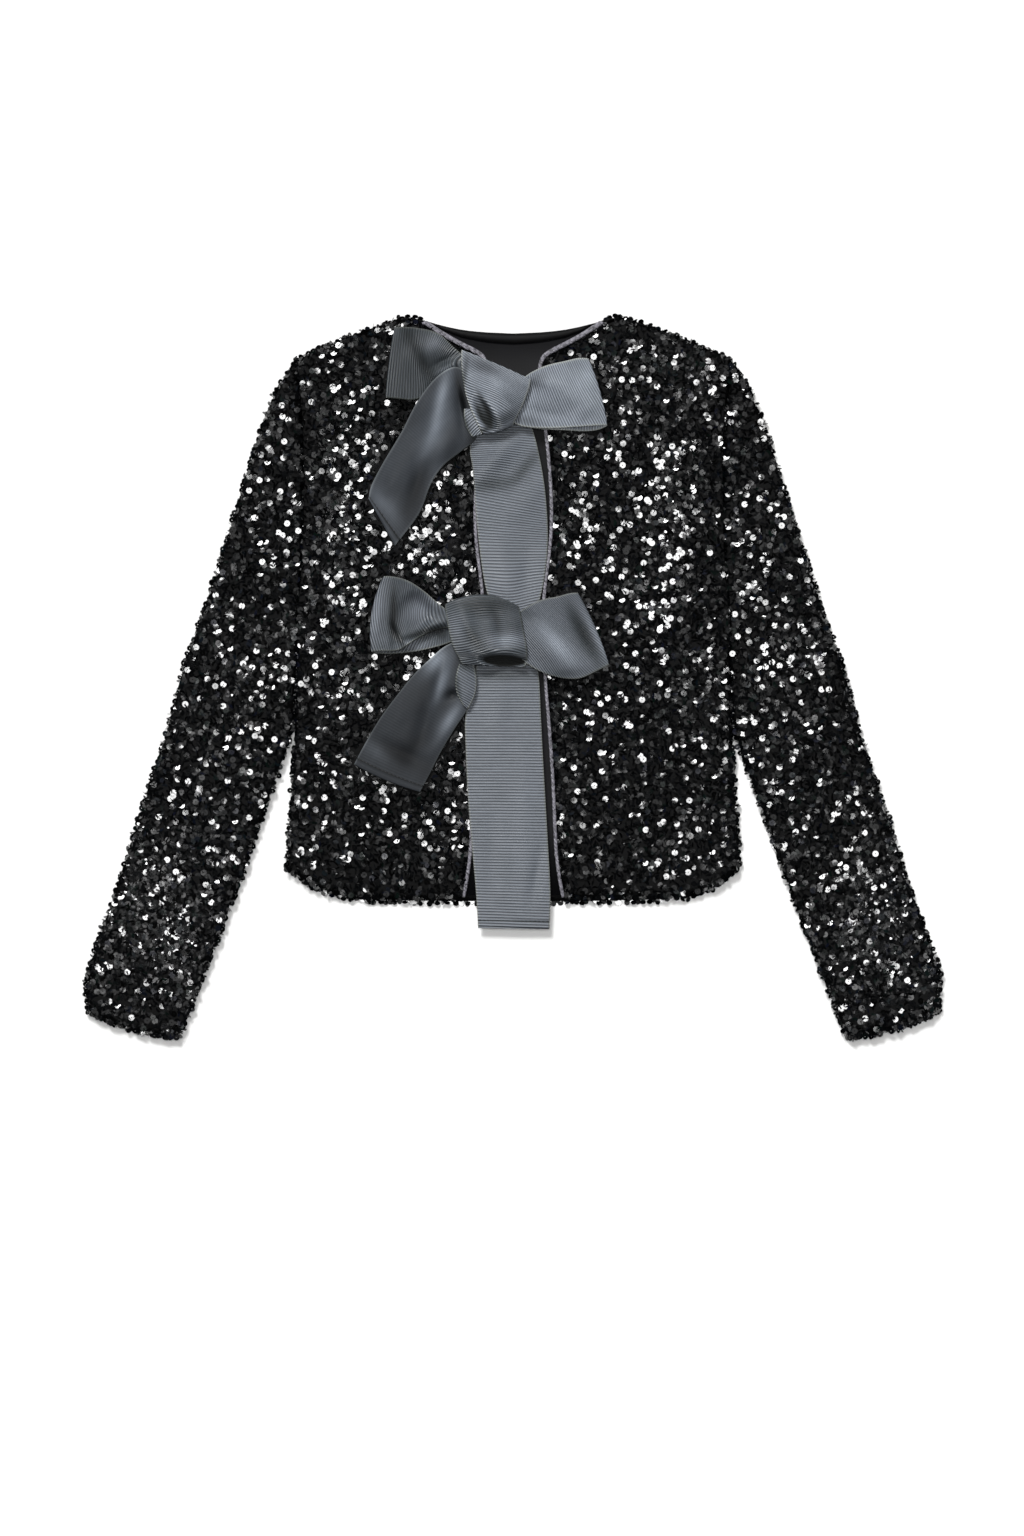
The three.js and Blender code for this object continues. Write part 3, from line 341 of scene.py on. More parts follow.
# Corners of ribbed ribbon that stick out from under each knot, in the columns of the bows
FLAPS = {
    "upper_bow_flap": [
        (-41.6, 226, 20.6, -34, 226, 21, 0, 0), (-41.6, 218, 20.6, -32.2, 218.4, 20.6, 0.5, 0),
        (-39.7, 210.4, 20, -28.4, 210.8, 19, 0.6, 0), (-35, 202.4, 18, -26.2, 205, 17, 0.3, 0),
    ],
    "lower_bow_flap": [
        (-46, 10, 17.4, -33.4, 9, 16.8, 0.3, 0), (-49, -2, 17.6, -31.2, -3, 15.4, 1, 0),
        (-48, -14, 17.2, -32.4, -15.6, 15.2, 1, 0), (-42.4, -25, 16.2, -38.4, -28, 15, 0.2, 0),
    ],
}

# How the ribs lie: their lean from straight across at a ribbon's start and end, in degrees
RIB_LEAN = {
    "upper_bow_right_loop": (10, 26),
    "upper_bow_knot": (-20, -22),
    "upper_bow_centre_tail": (-12, 5),
    "lower_bow_right_loop": (24, 44),
    "lower_bow_left_loop": (0, -24),
    "lower_bow_centre_tail": (0, -1),
    "upper_bow_flap": (30, 40),
    "lower_bow_flap": (-30, -20),
}

# Where the ribs bow out of line, in the columns of the creases, with the shift last
RIB_BENDS = {
    "upper_bow_left_loop": [(-57, 266, 0, 18, 17, 17)],
    "upper_bow_knot": [(-14, 236, 0, 22, 22, 6)],
    "upper_bow_centre_tail": [(-4, 62, 0, 20, 26, -6), (-12, 186, 0, 26, 22, 3)],
    "lower_bow_left_loop": [(-82, 50, 0, 21, 20, 13)],
    "lower_bow_right_loop": [(36, 24, 0, 26, 26, 8)],
    "lower_bow_knot": [(-6, 22, 0, 27, 27, 12)],
}

# Stretches that show the smooth reverse, and those with a turned-up hem, with its depth
REVERSE_SIDE = ("upper_bow_left_tail", "lower_bow_left_tail")
HEMMED = {
    "upper_bow_left_tail": 6.4,
    "lower_bow_left_tail": 6.4,
    "lower_bow_centre_tail": 6.6,
}
RIBBONS = {**BOWS, **FLAPS}

# Rows along and columns across for each kind of stretch
RIBBON_GRID = {"loop": (120, 56), "knot": (120, 56), "tail": (96, 40), "flap": (30, 18)}
RIBBON_THICKNESS = 0.8

# Creases fade in between these shares of a stretch: on a loop's upper layer, and elsewhere past its start
LOOP_FADE, PLAIN_FADE = (0.46, 0.58), (0.04, 0.16)

# A turned-up hem is thicker by this, and its step takes this length. There the ribbon has more rows, and
# a line of painted shade along its stitches, with this share and this half width
HEM_RISE, HEM_STEP = 0.25, 1.2
HEM_ROWS = (-1, -0.5, 0, 0.5, 1)
HEM_SHADE, HEM_SHADE_WIDTH = 0.8, 0.7

# The selvedge's share of the pale colour, and how far from the edge it is full and ends
SELVEDGE_SHARE, SELVEDGE_WIDTH = 0.5, (0.2, 1.6)

# The depths between which a knot's pocket gets painted shade, from none to full
POCKET_DEPTH = (1, 5)

# A stitch: the distance to the next, its start and end as shares of that, its lift above the ribbon, its
# sides, and its rings as share along it and half thickness
STITCH_PITCH, STITCH_ENDS, STITCH_LIFT, STITCH_SIDES = 3.4, (0.2, 0.82), 0.4, 6
STITCH_RINGS = ((0, 0.16), (0.25, 0.36), (0.75, 0.36), (1, 0.16))


def linear(code):
    """An sRGB hex value as a linear colour."""
    parts = [int(code[i : i + 2], 16) / 255 for i in (0, 2, 4)]
    return tuple(p / 12.92 if p <= 0.04045 else ((p + 0.055) / 1.055) ** 2.4 for p in parts) + (1.0,)


class JacketSettings(bpy.types.PropertyGroup):
    """Sizes and colours of the jacket's finishes."""

    sequin_width: bpy.props.FloatProperty(
        name="Sequin width", description="Width of one sequin", default=0.0053, min=0.003, max=0.01,
        subtype="DISTANCE", unit="LENGTH",
    )
    sequin_spacing: bpy.props.FloatProperty(
        name="Sequin spacing", description="Least distance between two sequins on the upper side",
        default=0.0025, min=0.002, max=0.01, subtype="DISTANCE", unit="LENGTH",
    )
    under_spacing: bpy.props.FloatProperty(
        name="Underside spacing", description="Least distance between two sequins on the underside",
        default=0.0034, min=0.002, max=0.01, subtype="DISTANCE", unit="LENGTH",
    )
    sequin_colour: bpy.props.FloatVectorProperty(
        name="Sequins", description="Colour of the sequins", default=linear("050608"), size=4,
        subtype="COLOR", min=0, max=1,
    )
    ribbon_colour: bpy.props.FloatVectorProperty(
        name="Ribbon", description="Colour of the ribbed side of the ribbon", default=linear("6c7179"),
        size=4, subtype="COLOR", min=0, max=1,
    )
    reverse_colour: bpy.props.FloatVectorProperty(
        name="Ribbon reverse", description="Colour of the smooth side of the ribbon",
        default=linear("2d3034"), size=4, subtype="COLOR", min=0, max=1,
    )
    rib_spacing: bpy.props.FloatProperty(
        name="Rib spacing", description="Distance between two ribs of the ribbon", default=0.0025,
        min=0.001, max=0.01, subtype="DISTANCE", unit="LENGTH",
    )
    binding_colour: bpy.props.FloatVectorProperty(
        name="Binding", description="Colour of the satin binding", default=linear("84828b"), size=4,
        subtype="COLOR", min=0, max=1,
    )
    floor_colour: bpy.props.FloatVectorProperty(
        name="Floor", description="Colour of the paper under the jacket", default=linear("f8f8f7"),
        size=4, subtype="COLOR", min=0, max=1,
    )


def add_node(material, kind, inputs=None, stops=(), **settings):
    """Adds a node of a kind with its settings, gives its inputs values or links, and a ramp its stops."""
    made = material.node_tree.nodes.new(kind)
    for name, value in settings.items():
        setattr(made, name, value)
    for name, value in (inputs or {}).items():
        if isinstance(value, bpy.types.NodeSocket):
            material.node_tree.links.new(value, made.inputs[name])
        else:
            made.inputs[name].default_value = value
    if stops:
        elements = made.color_ramp.elements
        while len(elements) < len(stops):
            elements.new(0.5)
        for element, (position, colour) in zip(elements, stops):
            element.position, element.color = position, colour
    return made


def new_material(name):
    material = bpy.data.materials.get(name) or bpy.data.materials.new(name)
    material.use_nodes = True
    material.node_tree.nodes.clear()
    return material


def finish_material(material, surface):
    """Gives a material its shader, with the surface's values and links, and its output."""
    shader = add_node(material, "ShaderNodeBsdfPrincipled", surface)
    add_node(material, "ShaderNodeOutputMaterial", {"Surface": shader.outputs["BSDF"]})
    return material


def darker(colour, share):
    return tuple(part * share for part in colour[:3]) + (1.0,)


# Punched PET film, glossy and nearly black: each disc mirrors one patch of the room, white where it
# catches the lamp, with a few tinted green, blue or lilac by their coating.
def sequin_film(settings):
    material = new_material("black_pet_sequin")
    tint = add_node(material, "ShaderNodeAttribute", attribute_name="tint").outputs["Fac"]
    colour = add_node(material, "ShaderNodeValToRGB", {"Fac": tint}, [
        (0.0, linear("020202")), (0.62, tuple(settings.sequin_colour)), (0.88, linear("0a0b0c")),
        (0.93, linear("06120e")), (0.97, linear("0a0c1a")), (1.0, linear("1a1e20")),
    ])
    gloss = add_node(material, "ShaderNodeMapRange", {"Value": tint, "To Min": 0.06, "To Max": 0.17})
    return finish_material(material, {
        "Base Color": colour.outputs["Color"], "Roughness": gloss.outputs["Result"], "IOR": 1.6,
    })


# Knitted nylon net under the sequins: matt black with a fine mesh, about 0.8 mm, drawn at 1.6 mm so
# that it shows.
def net_cloth():
    material = new_material("black_nylon_net")
    place = add_node(material, "ShaderNodeTexCoord").outputs["Object"]
    mesh = add_node(material, "ShaderNodeTexVoronoi", {"Vector": place, "Scale": 620.0},
                    feature="DISTANCE_TO_EDGE").outputs["Distance"]
    colour = add_node(material, "ShaderNodeValToRGB", {"Fac": mesh}, [
        (0.0, linear("070708")), (0.2, linear("030303")), (1.0, linear("010101")),
    ])
    bump = add_node(material, "ShaderNodeBump", {"Strength": 0.5, "Distance": 0.0004, "Height": mesh})
    return finish_material(material, {
        "Base Color": colour.outputs["Color"], "Roughness": 0.7, "Specular IOR Level": 0.12,
        "Normal": bump.outputs["Normal"],
    })


# Polyester lining and the neck facing's crepe, plain black weaves of 0.3 mm threads, drawn at 1.2 mm:
# a dull sheen, the facing blacker than the lining.
def lining_cloth(name, dark, light):
    material = new_material(name)
    place = add_node(material, "ShaderNodeTexCoord").outputs["Object"]
    warp, weft = (
        add_node(material, "ShaderNodeTexWave", {"Vector": place, "Scale": 260.0, "Distortion": 0.6},
                 bands_direction=way)
        for way in "XY"
    )
    weave = add_node(material, "ShaderNodeMath", {0: warp.outputs["Fac"], 1: weft.outputs["Fac"]},
                     operation="MULTIPLY")
    cloud = add_node(material, "ShaderNodeTexNoise", {"Vector": place, "Scale": 22.0, "Detail": 3.0})
    colour = add_node(material, "ShaderNodeValToRGB", {"Fac": cloud.outputs["Fac"]}, [
        (0.3, linear(dark)), (0.7, linear(light)),
    ])
    bump = add_node(material, "ShaderNodeBump", {
        "Strength": 0.25, "Distance": 0.0002, "Height": weave.outputs["Value"],
    })
    return finish_material(material, {
        "Base Color": colour.outputs["Color"], "Roughness": 0.6, "Specular IOR Level": 0.15,
        "Normal": bump.outputs["Normal"],
    })


# Polyester satin cut on the bias: grey with a lilac cast, puckered every 3 mm or so, with painted shade
# where the puckers sink. Its threads, about 0.2 mm, are drawn as soft lines 2.5 mm apart so that they show.
def binding_satin(settings):
    material = new_material("grey_satin_binding")
    place = add_node(material, "ShaderNodeTexCoord").outputs["Object"]
    pucker = add_node(material, "ShaderNodeTexNoise", {"Vector": place, "Scale": 330.0, "Detail": 2.0})
    thread = add_node(material, "ShaderNodeTexWave", {"Vector": place, "Scale": 180.0, "Distortion": 1.5},
                      bands_direction="DIAGONAL")
    base = tuple(settings.binding_colour)
    # Painted shade: the colour darkens where the puckers sink
    colour = add_node(material, "ShaderNodeValToRGB", {"Fac": pucker.outputs["Fac"]}, [
        (0.36, darker(base, 0.3)), (0.6, base),
    ])
    height = add_node(material, "ShaderNodeMath", {
        0: thread.outputs["Fac"], 1: 0.25, 2: pucker.outputs["Fac"],
    }, operation="MULTIPLY_ADD")
    bump = add_node(material, "ShaderNodeBump", {
        "Strength": 1.0, "Distance": 0.0012, "Height": height.outputs["Value"],
    })
    return finish_material(material, {
        "Base Color": colour.outputs["Color"], "Roughness": 0.36, "Normal": bump.outputs["Normal"],
    })


# Settings of nodes that mix and that multiply colours. Their inputs 0, 6 and 7 are the share and both
# colours.
MIX = {"data_type": "RGBA"}
MULTIPLY = {"data_type": "RGBA", "blend_type": "MULTIPLY"}


def start_grosgrain(name, settings, unevenness):
    """A material for one side of the ribbon, with its map of metres and its ribs, from 0 to 1."""
    material = new_material(name)
    cloth = add_node(material, "ShaderNodeUVMap", uv_map="cloth").outputs["UV"]
    ribs = add_node(material, "ShaderNodeTexWave", {
        "Vector": cloth, "Scale": 2 * math.pi / 20 / settings.rib_spacing, "Distortion": unevenness,
        "Detail": 1.0, "Detail Scale": 0.12,
    }, bands_direction="Y").outputs["Fac"]
    return material, cloth, ribs


def finish_grosgrain(material, woven, ribs, colours, bump, roughness, shine):
    """Paints shade in the knots' pockets, pales the edges, and gives painted light and shade, the ribs' relief
    and the gloss.
    """
    pocket_shade, edge, painted_light_factor = (
        add_node(material, "ShaderNodeAttribute", attribute_name=name).outputs["Fac"]
        for name in ("pocket_shade", "selvedge", "painted_light")
    )
    # The colours are the pockets' painted shade, the pale edges, and the cast that the painted shade takes
    pocket_shade_colour, pale, shaded_cast = colours
    # Painted shade in the knots' pockets, which goes to the pocket shade colour with their depth
    pocket_shaded = add_node(material, "ShaderNodeMix", {0: pocket_shade, 6: woven, 7: linear(pocket_shade_colour)}, **MIX)
    edged = add_node(material, "ShaderNodeMix", {0: edge, 6: pocket_shaded.outputs[2], 7: linear(pale)}, **MIX)
    # Painted light and shade: a cast where the factor is below one, then the colour scaled by the factor
    cast = add_node(material, "ShaderNodeMix", {0: painted_light_factor, 6: shaded_cast, 7: (1, 1, 1, 1)}, **MIX)
    tinted = add_node(material, "ShaderNodeMix", {
        0: 1.0, 6: edged.outputs[2], 7: cast.outputs[2],
    }, **MULTIPLY)
    colour = add_node(material, "ShaderNodeVectorMath", {0: tinted.outputs[2], "Scale": painted_light_factor},
                      operation="SCALE")
    ribbed = add_node(material, "ShaderNodeBump", {"Strength": bump[0], "Distance": bump[1], "Height": ribs})
    dullness = add_node(material, "ShaderNodeMapRange", {
        "Value": pocket_shade, "To Min": roughness[0], "To Max": roughness[1],
    })
    return finish_material(material, {
        "Base Color": colour.outputs["Vector"], "Roughness": dullness.outputs["Result"],
        "Specular IOR Level": shine, "Normal": ribbed.outputs["Normal"],
    })


# Polyester grosgrain, ribbed side: ribs straight across, usually about 1 mm apart and here drawn every
# 2.5 mm so that they show, with painted light on each crown and painted shade in each groove, slightly
# uneven, with firm pale edges and painted shade in the knots' pockets.
def grosgrain_face(settings):
    material, cloth, ribs = start_grosgrain("grey_polyester_grosgrain", settings, 1.5)
    cloud = add_node(material, "ShaderNodeTexNoise", {"Vector": cloth, "Scale": 45.0, "Detail": 4.0})
    slub = add_node(material, "ShaderNodeMapping", {"Vector": cloth, "Scale": (0.12, 1.0, 1.0)})
    slubs = add_node(material, "ShaderNodeTexNoise", {"Vector": slub.outputs["Vector"], "Scale": 520.0})
    base = tuple(settings.ribbon_colour)
    # Painted light on each rib's crown and painted shade in its groove
    ribbed = add_node(material, "ShaderNodeValToRGB", {"Fac": ribs}, [(0.0, darker(base, 0.32)), (0.6, base)])
    uneven = add_node(material, "ShaderNodeMix", {
        0: slubs.outputs["Fac"], 6: (0.76, 0.76, 0.76, 1), 7: (1.2, 1.2, 1.19, 1),
    }, **MIX)
    tone = add_node(material, "ShaderNodeMix", {
        0: 1.0, 6: ribbed.outputs["Color"], 7: uneven.outputs[2],
    }, **MULTIPLY)
    shade = add_node(material, "ShaderNodeMix", {
        0: cloud.outputs["Fac"], 6: (0.86, 0.88, 0.87, 1), 7: (1.1, 1.1, 1.11, 1),
    }, **MIX)
    shaded = add_node(material, "ShaderNodeMix", {
        0: 1.0, 6: tone.outputs[2], 7: shade.outputs[2],
    }, **MULTIPLY)
    return finish_grosgrain(material, shaded.outputs[2], ribs, ("0c0f0e", "93958c", (0.92, 1.0, 0.96, 1)),
                            bump=(0.9, 0.0007), roughness=(0.42, 0.95), shine=0.5)


# The same ribbon's reverse: filament floats lie along it and hide the ribs, so it is darker and smooth,
# its sheen painted as patches of light and shade, with faint painted shade in the ribs' grooves.
def grosgrain_reverse(settings):
    material, cloth, ribs = start_grosgrain("grey_grosgrain_reverse", settings, 0.8)
    streak = add_node(material, "ShaderNodeMapping", {"Vector": cloth, "Scale": (1.0, 0.35, 1.0)})
    streaks = add_node(material, "ShaderNodeTexNoise", {
        "Vector": streak.outputs["Vector"], "Scale": 90.0, "Detail": 6.0,
    })
    base = tuple(settings.reverse_colour)
    floats = add_node(material, "ShaderNodeValToRGB", {"Fac": streaks.outputs["Fac"]}, [
        (0.3, darker(base, 0.78)), (0.66, base),
    ])
    # Faint painted shade in the ribs' grooves
    weave = add_node(material, "ShaderNodeMix", {
        0: ribs, 6: (0.86, 0.86, 0.86, 1), 7: (1.05, 1.05, 1.05, 1),
    }, **MIX)
    woven = add_node(material, "ShaderNodeMix", {
        0: 1.0, 6: floats.outputs["Color"], 7: weave.outputs[2],
    }, **MULTIPLY)
    return finish_grosgrain(material, woven.outputs[2], ribs, ("0e1011", "64686a", (1, 1, 1, 1)),
                            bump=(0.16, 0.0003), roughness=(0.5, 0.5), shine=0.12)


# Spun polyester thread, one twist about every 0.7 mm, drawn at 1 mm: dull, and much darker than the
# ribbon.
def sewing_thread():
    material = new_material("grey_polyester_thread")
    place = add_node(material, "ShaderNodeTexCoord").outputs["Object"]
    twist = add_node(material, "ShaderNodeTexWave", {"Vector": place, "Scale": 450.0},
                     bands_direction="DIAGONAL")
    colour = add_node(material, "ShaderNodeValToRGB", {"Fac": twist.outputs["Fac"]}, [
        (0.2, linear("121415")), (0.8, linear("26292b")),
    ])
    return finish_material(material, {"Base Color": colour.outputs["Color"], "Roughness": 0.6})


# Coated background paper: near white and matt. The cloud of its fibres, a few centimetres across, is
# drawn ten times as wide, and very faint.
def background_paper(settings):
    material = new_material("white_background_paper")
    place = add_node(material, "ShaderNodeTexCoord").outputs["Object"]
    cloud = add_node(material, "ShaderNodeTexNoise", {"Vector": place, "Scale": 3.0, "Detail": 5.0})
    base = tuple(settings.floor_colour)
    colour = add_node(material, "ShaderNodeValToRGB", {"Fac": cloud.outputs["Fac"]}, [
        (0.3, darker(base, 0.985)), (0.7, base),
    ])
    return finish_material(material, {"Base Color": colour.outputs["Color"], "Roughness": 0.9})


def smooth_step(value, low, high):
    part = min(max((value - low) / (high - low), 0.0), 1.0)
    return part * part * (3 - 2 * part)


def armhole_x(part):
    return SHOULDER[0] + (UNDERARM[0] - SHOULDER[0]) * part - ARMHOLE_HOLLOW * 4 * part * (1 - part)


def from_middle(x, y, middle_x, middle_y, way, long, wide):
    """How far a place is along and beside an oval's middle, in its half lengths and half widths."""
    turn = math.radians(way)
    along = (x - middle_x) * math.cos(turn) + (y - middle_y) * math.sin(turn)
    beside = (y - middle_y) * math.cos(turn) - (x - middle_x) * math.sin(turn)
    return along / long, beside / wide


def fold_height(rows, x, y):
    """Height of soft folds at a place, from rows of x, y, way, half length, half width, height."""
    height = 0.0
    for *oval, high in rows:
        along, beside = from_middle(x, y, *oval)
        height += high * math.exp(-(along**2) - beside**2)
    return height


def crease_height(name, x, y):
    """Height of a ribbon's creases, and of its pockets with their steeper walls, at a place."""
    height = fold_height(RIBBON_CREASES.get(name, ()), x, y)
    for *oval, high in RIBBON_POCKETS.get(name, ()):
        along, beside = from_middle(x, y, *oval)
        height += high * math.exp(-((along**2 + beside**2) ** 3))
    return height


def painted_light(name, x, y):
    """The factor of painted light and shade on a ribbon's plain colour at a place."""
    plain, patches = RIBBON_PAINTED_LIGHT[name]
    return math.exp(plain + fold_height(patches, x, y))


def relief(x, y):
    """The upper cloth's height above its level plane, as in the part."""
    part = (SHOULDER[1] - y) / (SHOULDER[1] - UNDERARM[1])
    fade = smooth_step(part, *ARMHOLE_DIP_START) * (1 - smooth_step(part, *ARMHOLE_DIP_END))
    across = (abs(x) - armhole_x(part)) / ARMHOLE_DIP_WIDTH
    return fold_height(SOFT_FOLDS, x, y) - ARMHOLE_DIP * fade * math.exp(-across * across)


def track(rows):
    """A smooth curve through a ribbon's rows, spaced by their distance apart."""
    distances = [0.0]
    for last, row in zip(rows, rows[1:]):
        distances.append(distances[-1] + math.dist(last[:6], row[:6]))
    parts = [d / distances[-1] for d in distances]

    def at(part):
        part = min(max(part, 0.0), 1.0)
        i = next((k for k in range(1, len(parts)) if part <= parts[k]), len(parts) - 1)
        start, end = parts[i - 1], parts[i]
        half = (end - start) / 2
        before = i - 2 if i > 1 else i
        after = i + 1 if i + 1 < len(parts) else i - 1
        before_weight = half / (start - (parts[i - 2] if i > 1 else end))
        after_weight = half / ((parts[i + 1] if i + 1 < len(parts) else start) - end)
        p = (part - start) / (end - start)
        pp, ppp = p * p, p * p * p
        weights = (
            -before_weight * ppp + 2 * before_weight * pp - before_weight * p,
            (1 + before_weight) * ppp + (-1.5 - 2 * before_weight) * pp + (-0.5 + before_weight) * p + 1,
            (-1 - after_weight) * ppp + (1.5 + after_weight) * pp + 0.5 * p,
            after_weight * ppp - after_weight * pp,
        )
        chosen = (rows[before], rows[i - 1], rows[i], rows[after])
        return [sum(w * row[k] for w, row in zip(weights, chosen)) for k in range(8)]

    return at


def ribbon_place(name):
    """A function for the ribbon's middle surface, in metres, by share along it and share across it."""
    line = track(RIBBONS[name])
    fade = LOOP_FADE if name.endswith("loop") else PLAIN_FADE

    def at(part, across):
        ax, ay, az, bx, by, bz, arch, bulge = line(part)
        rise = 4 * across * (1 - across)
        way = Vector((bx - ax, by - ay, bz - az)).normalized()
        x = ax + (bx - ax) * across
        y = ay + (by - ay) * across
        z = az + (bz - az) * across + arch * rise + relief(x, y)
        x += way.y * bulge * rise
        y -= way.x * bulge * rise
        return Vector((x, y, z + smooth_step(part, *fade) * crease_height(name, x, y))) * MM

    return at


def shown_cut(name):
    """Flat area, in square metres, of the ribbon that shows: its rows' widths times the way between."""
    rows = RIBBONS[name]
    area = 0
    for last, row in zip(rows, rows[1:]):
        width = (math.dist(last[:3], last[3:6]) + math.dist(row[:3], row[3:6])) / 2
        area += width * math.dist(*([(a + b) / 2 for a, b in zip(r[:3], r[3:6])] for r in (last, row)))
    return area * MM * MM


def closed_sheet(outer, inner):
    """Points and quads of one closed body between two grids, and each point's row and column."""
    rows, columns = len(outer), len(outer[0])
    points = [p for row in outer for p in row] + [p for row in inner for p in row]
    at = lambda layer, i, j: (layer * rows + i) * columns + j
    faces = []
    for i in range(rows - 1):
        for j in range(columns - 1):
            faces.append((at(0, i, j), at(0, i, j + 1), at(0, i + 1, j + 1), at(0, i + 1, j)))
            faces.append((at(1, i, j), at(1, i + 1, j), at(1, i + 1, j + 1), at(1, i, j + 1)))
    for j in range(columns - 1):
        faces.append((at(0, 0, j), at(1, 0, j), at(1, 0, j + 1), at(0, 0, j + 1)))
        faces.append((at(0, rows - 1, j), at(0, rows - 1, j + 1), at(1, rows - 1, j + 1), at(1, rows - 1, j)))
    for i in range(rows - 1):
        faces.append((at(0, i, 0), at(0, i + 1, 0), at(1, i + 1, 0), at(1, i, 0)))
        faces.append((at(0, i, columns - 1), at(1, i, columns - 1), at(1, i + 1, columns - 1),
                      at(0, i + 1, columns - 1)))
    spots = [(i, j) for _ in range(2) for i in range(rows) for j in range(columns)]
    return points, faces, spots


def new_object(name, mesh, material):
    piece = bpy.data.objects.new(name, mesh)
    bpy.context.scene.collection.objects.link(piece)
    piece.data.materials.clear()
    piece.data.materials.append(material)
    return piece


def mark(mesh, name, domain, values):
    """Gives each point or face of a mesh a value that its material reads."""
    mesh.attributes.new(name, "FLOAT", domain).data.foreach_set("value", values)


def select_only(piece):
    for other in bpy.context.selected_objects:
        other.select_set(False)
    piece.select_set(True)
    bpy.context.view_layer.objects.active = piece


def dress(piece, slot, *nodes):
    """Puts a piece on its body and hides the CAD nodes that it stands for; the slot is not used."""
    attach(piece, "root")
    if nodes:
        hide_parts(*nodes)


def cloth_from_node(node, name, inset, levels, material):
    """A thin, smooth sheet on the form of a CAD node, drawn in by inset on both of its sides."""
    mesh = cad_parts[node].data.copy()
    mesh.name = name
    shape = bmesh.new()
    shape.from_mesh(mesh)
    bmesh.ops.remove_doubles(shape, verts=shape.verts, dist=2e-6)
    bmesh.ops.join_triangles(shape, faces=shape.faces, angle_face_threshold=0.6,
                             angle_shape_threshold=0.9)
    shape.normal_update()
    moves = [vert.normal * (-inset * MM) for vert in shape.verts]
    for vert, move in zip(shape.verts, moves):
        vert.co += move
    shape.to_mesh(mesh)
    shape.free()
    piece = new_object(name, mesh, material)
    if levels:
        select_only(piece)
        rounding = piece.modifiers.new("rounding", "SUBSURF")
        rounding.levels = rounding.render_levels = levels
        bpy.ops.object.modifier_apply(modifier=rounding.name)
    for polygon in piece.data.polygons:
        polygon.use_smooth = True
    return piece


def cad_triangles(node):
    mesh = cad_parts[node].data
    mesh.calc_loop_triangles()
    places = np.empty(len(mesh.vertices) * 3, np.float32)
    mesh.vertices.foreach_get("co", places)
    corners = np.empty(len(mesh.loop_triangles) * 3, np.int32)
    mesh.loop_triangles.foreach_get("vertices", corners)
    return places.reshape(-1, 3).astype(float), corners.reshape(-1, 3)


def cad_tree(*nodes):
    """What rays are cast at: the triangles of some CAD nodes."""
    places, corners, start = [], [], 0
    for node in nodes:
        node_places, node_corners = cad_triangles(node)
        places.append(node_places)
        corners.append(node_corners + start)
        start += len(node_places)
    return BVHTree.FromPolygons(np.concatenate(places).tolist(), np.concatenate(corners).tolist())


def outer_skin(node, upward):
    """Corners and smooth corner normals of a node's outer triangles on its upper or lower side."""
    places, corners = cad_triangles(node)
    tree = cad_tree(node)
    triangles = places[corners]
    normals = np.cross(triangles[:, 1] - triangles[:, 0], triangles[:, 2] - triangles[:, 0])
    areas = np.linalg.norm(normals, axis=1)
    unit = normals / np.maximum(areas, NOTHING)[:, None]
    centres = triangles.mean(axis=1)
    way = 1 if upward else -1
    kept = []
    for i, (centre, normal) in enumerate(zip(centres, unit)):
        if normal[2] * way < TURNED_AWAY or areas[i] < SMALLEST_FACE:
            continue
        if node.endswith("sleeve") and (centre[2] - SEAM_LEVEL * MM) * way < -SEAM_THICKNESS * MM:
            continue
        start = Vector(centre + normal * (RAY_START * MM))
        if tree.ray_cast(start, Vector((0, 0, way)), RAY_LENGTH * MM)[0] is None:
            kept.append(i)
    kept = np.array(kept)
    keys = np.round(triangles[kept].reshape(-1, 3) * CORNER_STEPS).astype(np.int64)
    _, shared = np.unique(keys, axis=0, return_inverse=True)
    shared = shared.reshape(-1)
    sums = np.zeros((shared.max() + 1, 3))
    np.add.at(sums, shared, np.repeat(normals[kept], 3, axis=0))
    smooth = sums[shared]
    smooth /= np.maximum(np.linalg.norm(smooth, axis=1), NOTHING)[:, None]
    return triangles[kept], smooth.reshape(-1, 3, 3), areas[kept] / 2


def scatter(node, upward, spacing, seed):
    """Places on a node's outer skin, no two nearer than spacing, with the skin's normal at each."""
    triangles, normals, areas = outer_skin(node, upward)
    chance = np.random.default_rng(seed)
    count = int(areas.sum() / spacing**2 * DRAWS_PER_PLACE)
    chosen = chance.choice(len(areas), count, p=areas / areas.sum())
    u, v = chance.random(count), chance.random(count)
    over = u + v > 1
    u[over], v[over] = 1 - u[over], 1 - v[over]
    shares = np.stack([1 - u - v, u, v], axis=1)[:, :, None]
    places = (triangles[chosen] * shares).sum(axis=1)
    leans = (normals[chosen] * shares).sum(axis=1)
    leans /= np.linalg.norm(leans, axis=1)[:, None]
    neighbours = tuple(itertools.product((-1, 0, 1), repeat=3))
    cells = {}
    kept = []
    keys = np.floor(places / spacing).astype(int)
    for i in range(count):
        a, b, c = keys[i]
        x, y, z = places[i]
        near = (places[j] for da, db, dc in neighbours for j in cells.get((a + da, b + db, c + dc), ()))
        if all((px - x) ** 2 + (py - y) ** 2 + (pz - z) ** 2 >= spacing * spacing for px, py, pz in near):
            cells.setdefault((a, b, c), []).append(i)
            kept.append(i)
    return places[kept], leans[kept]


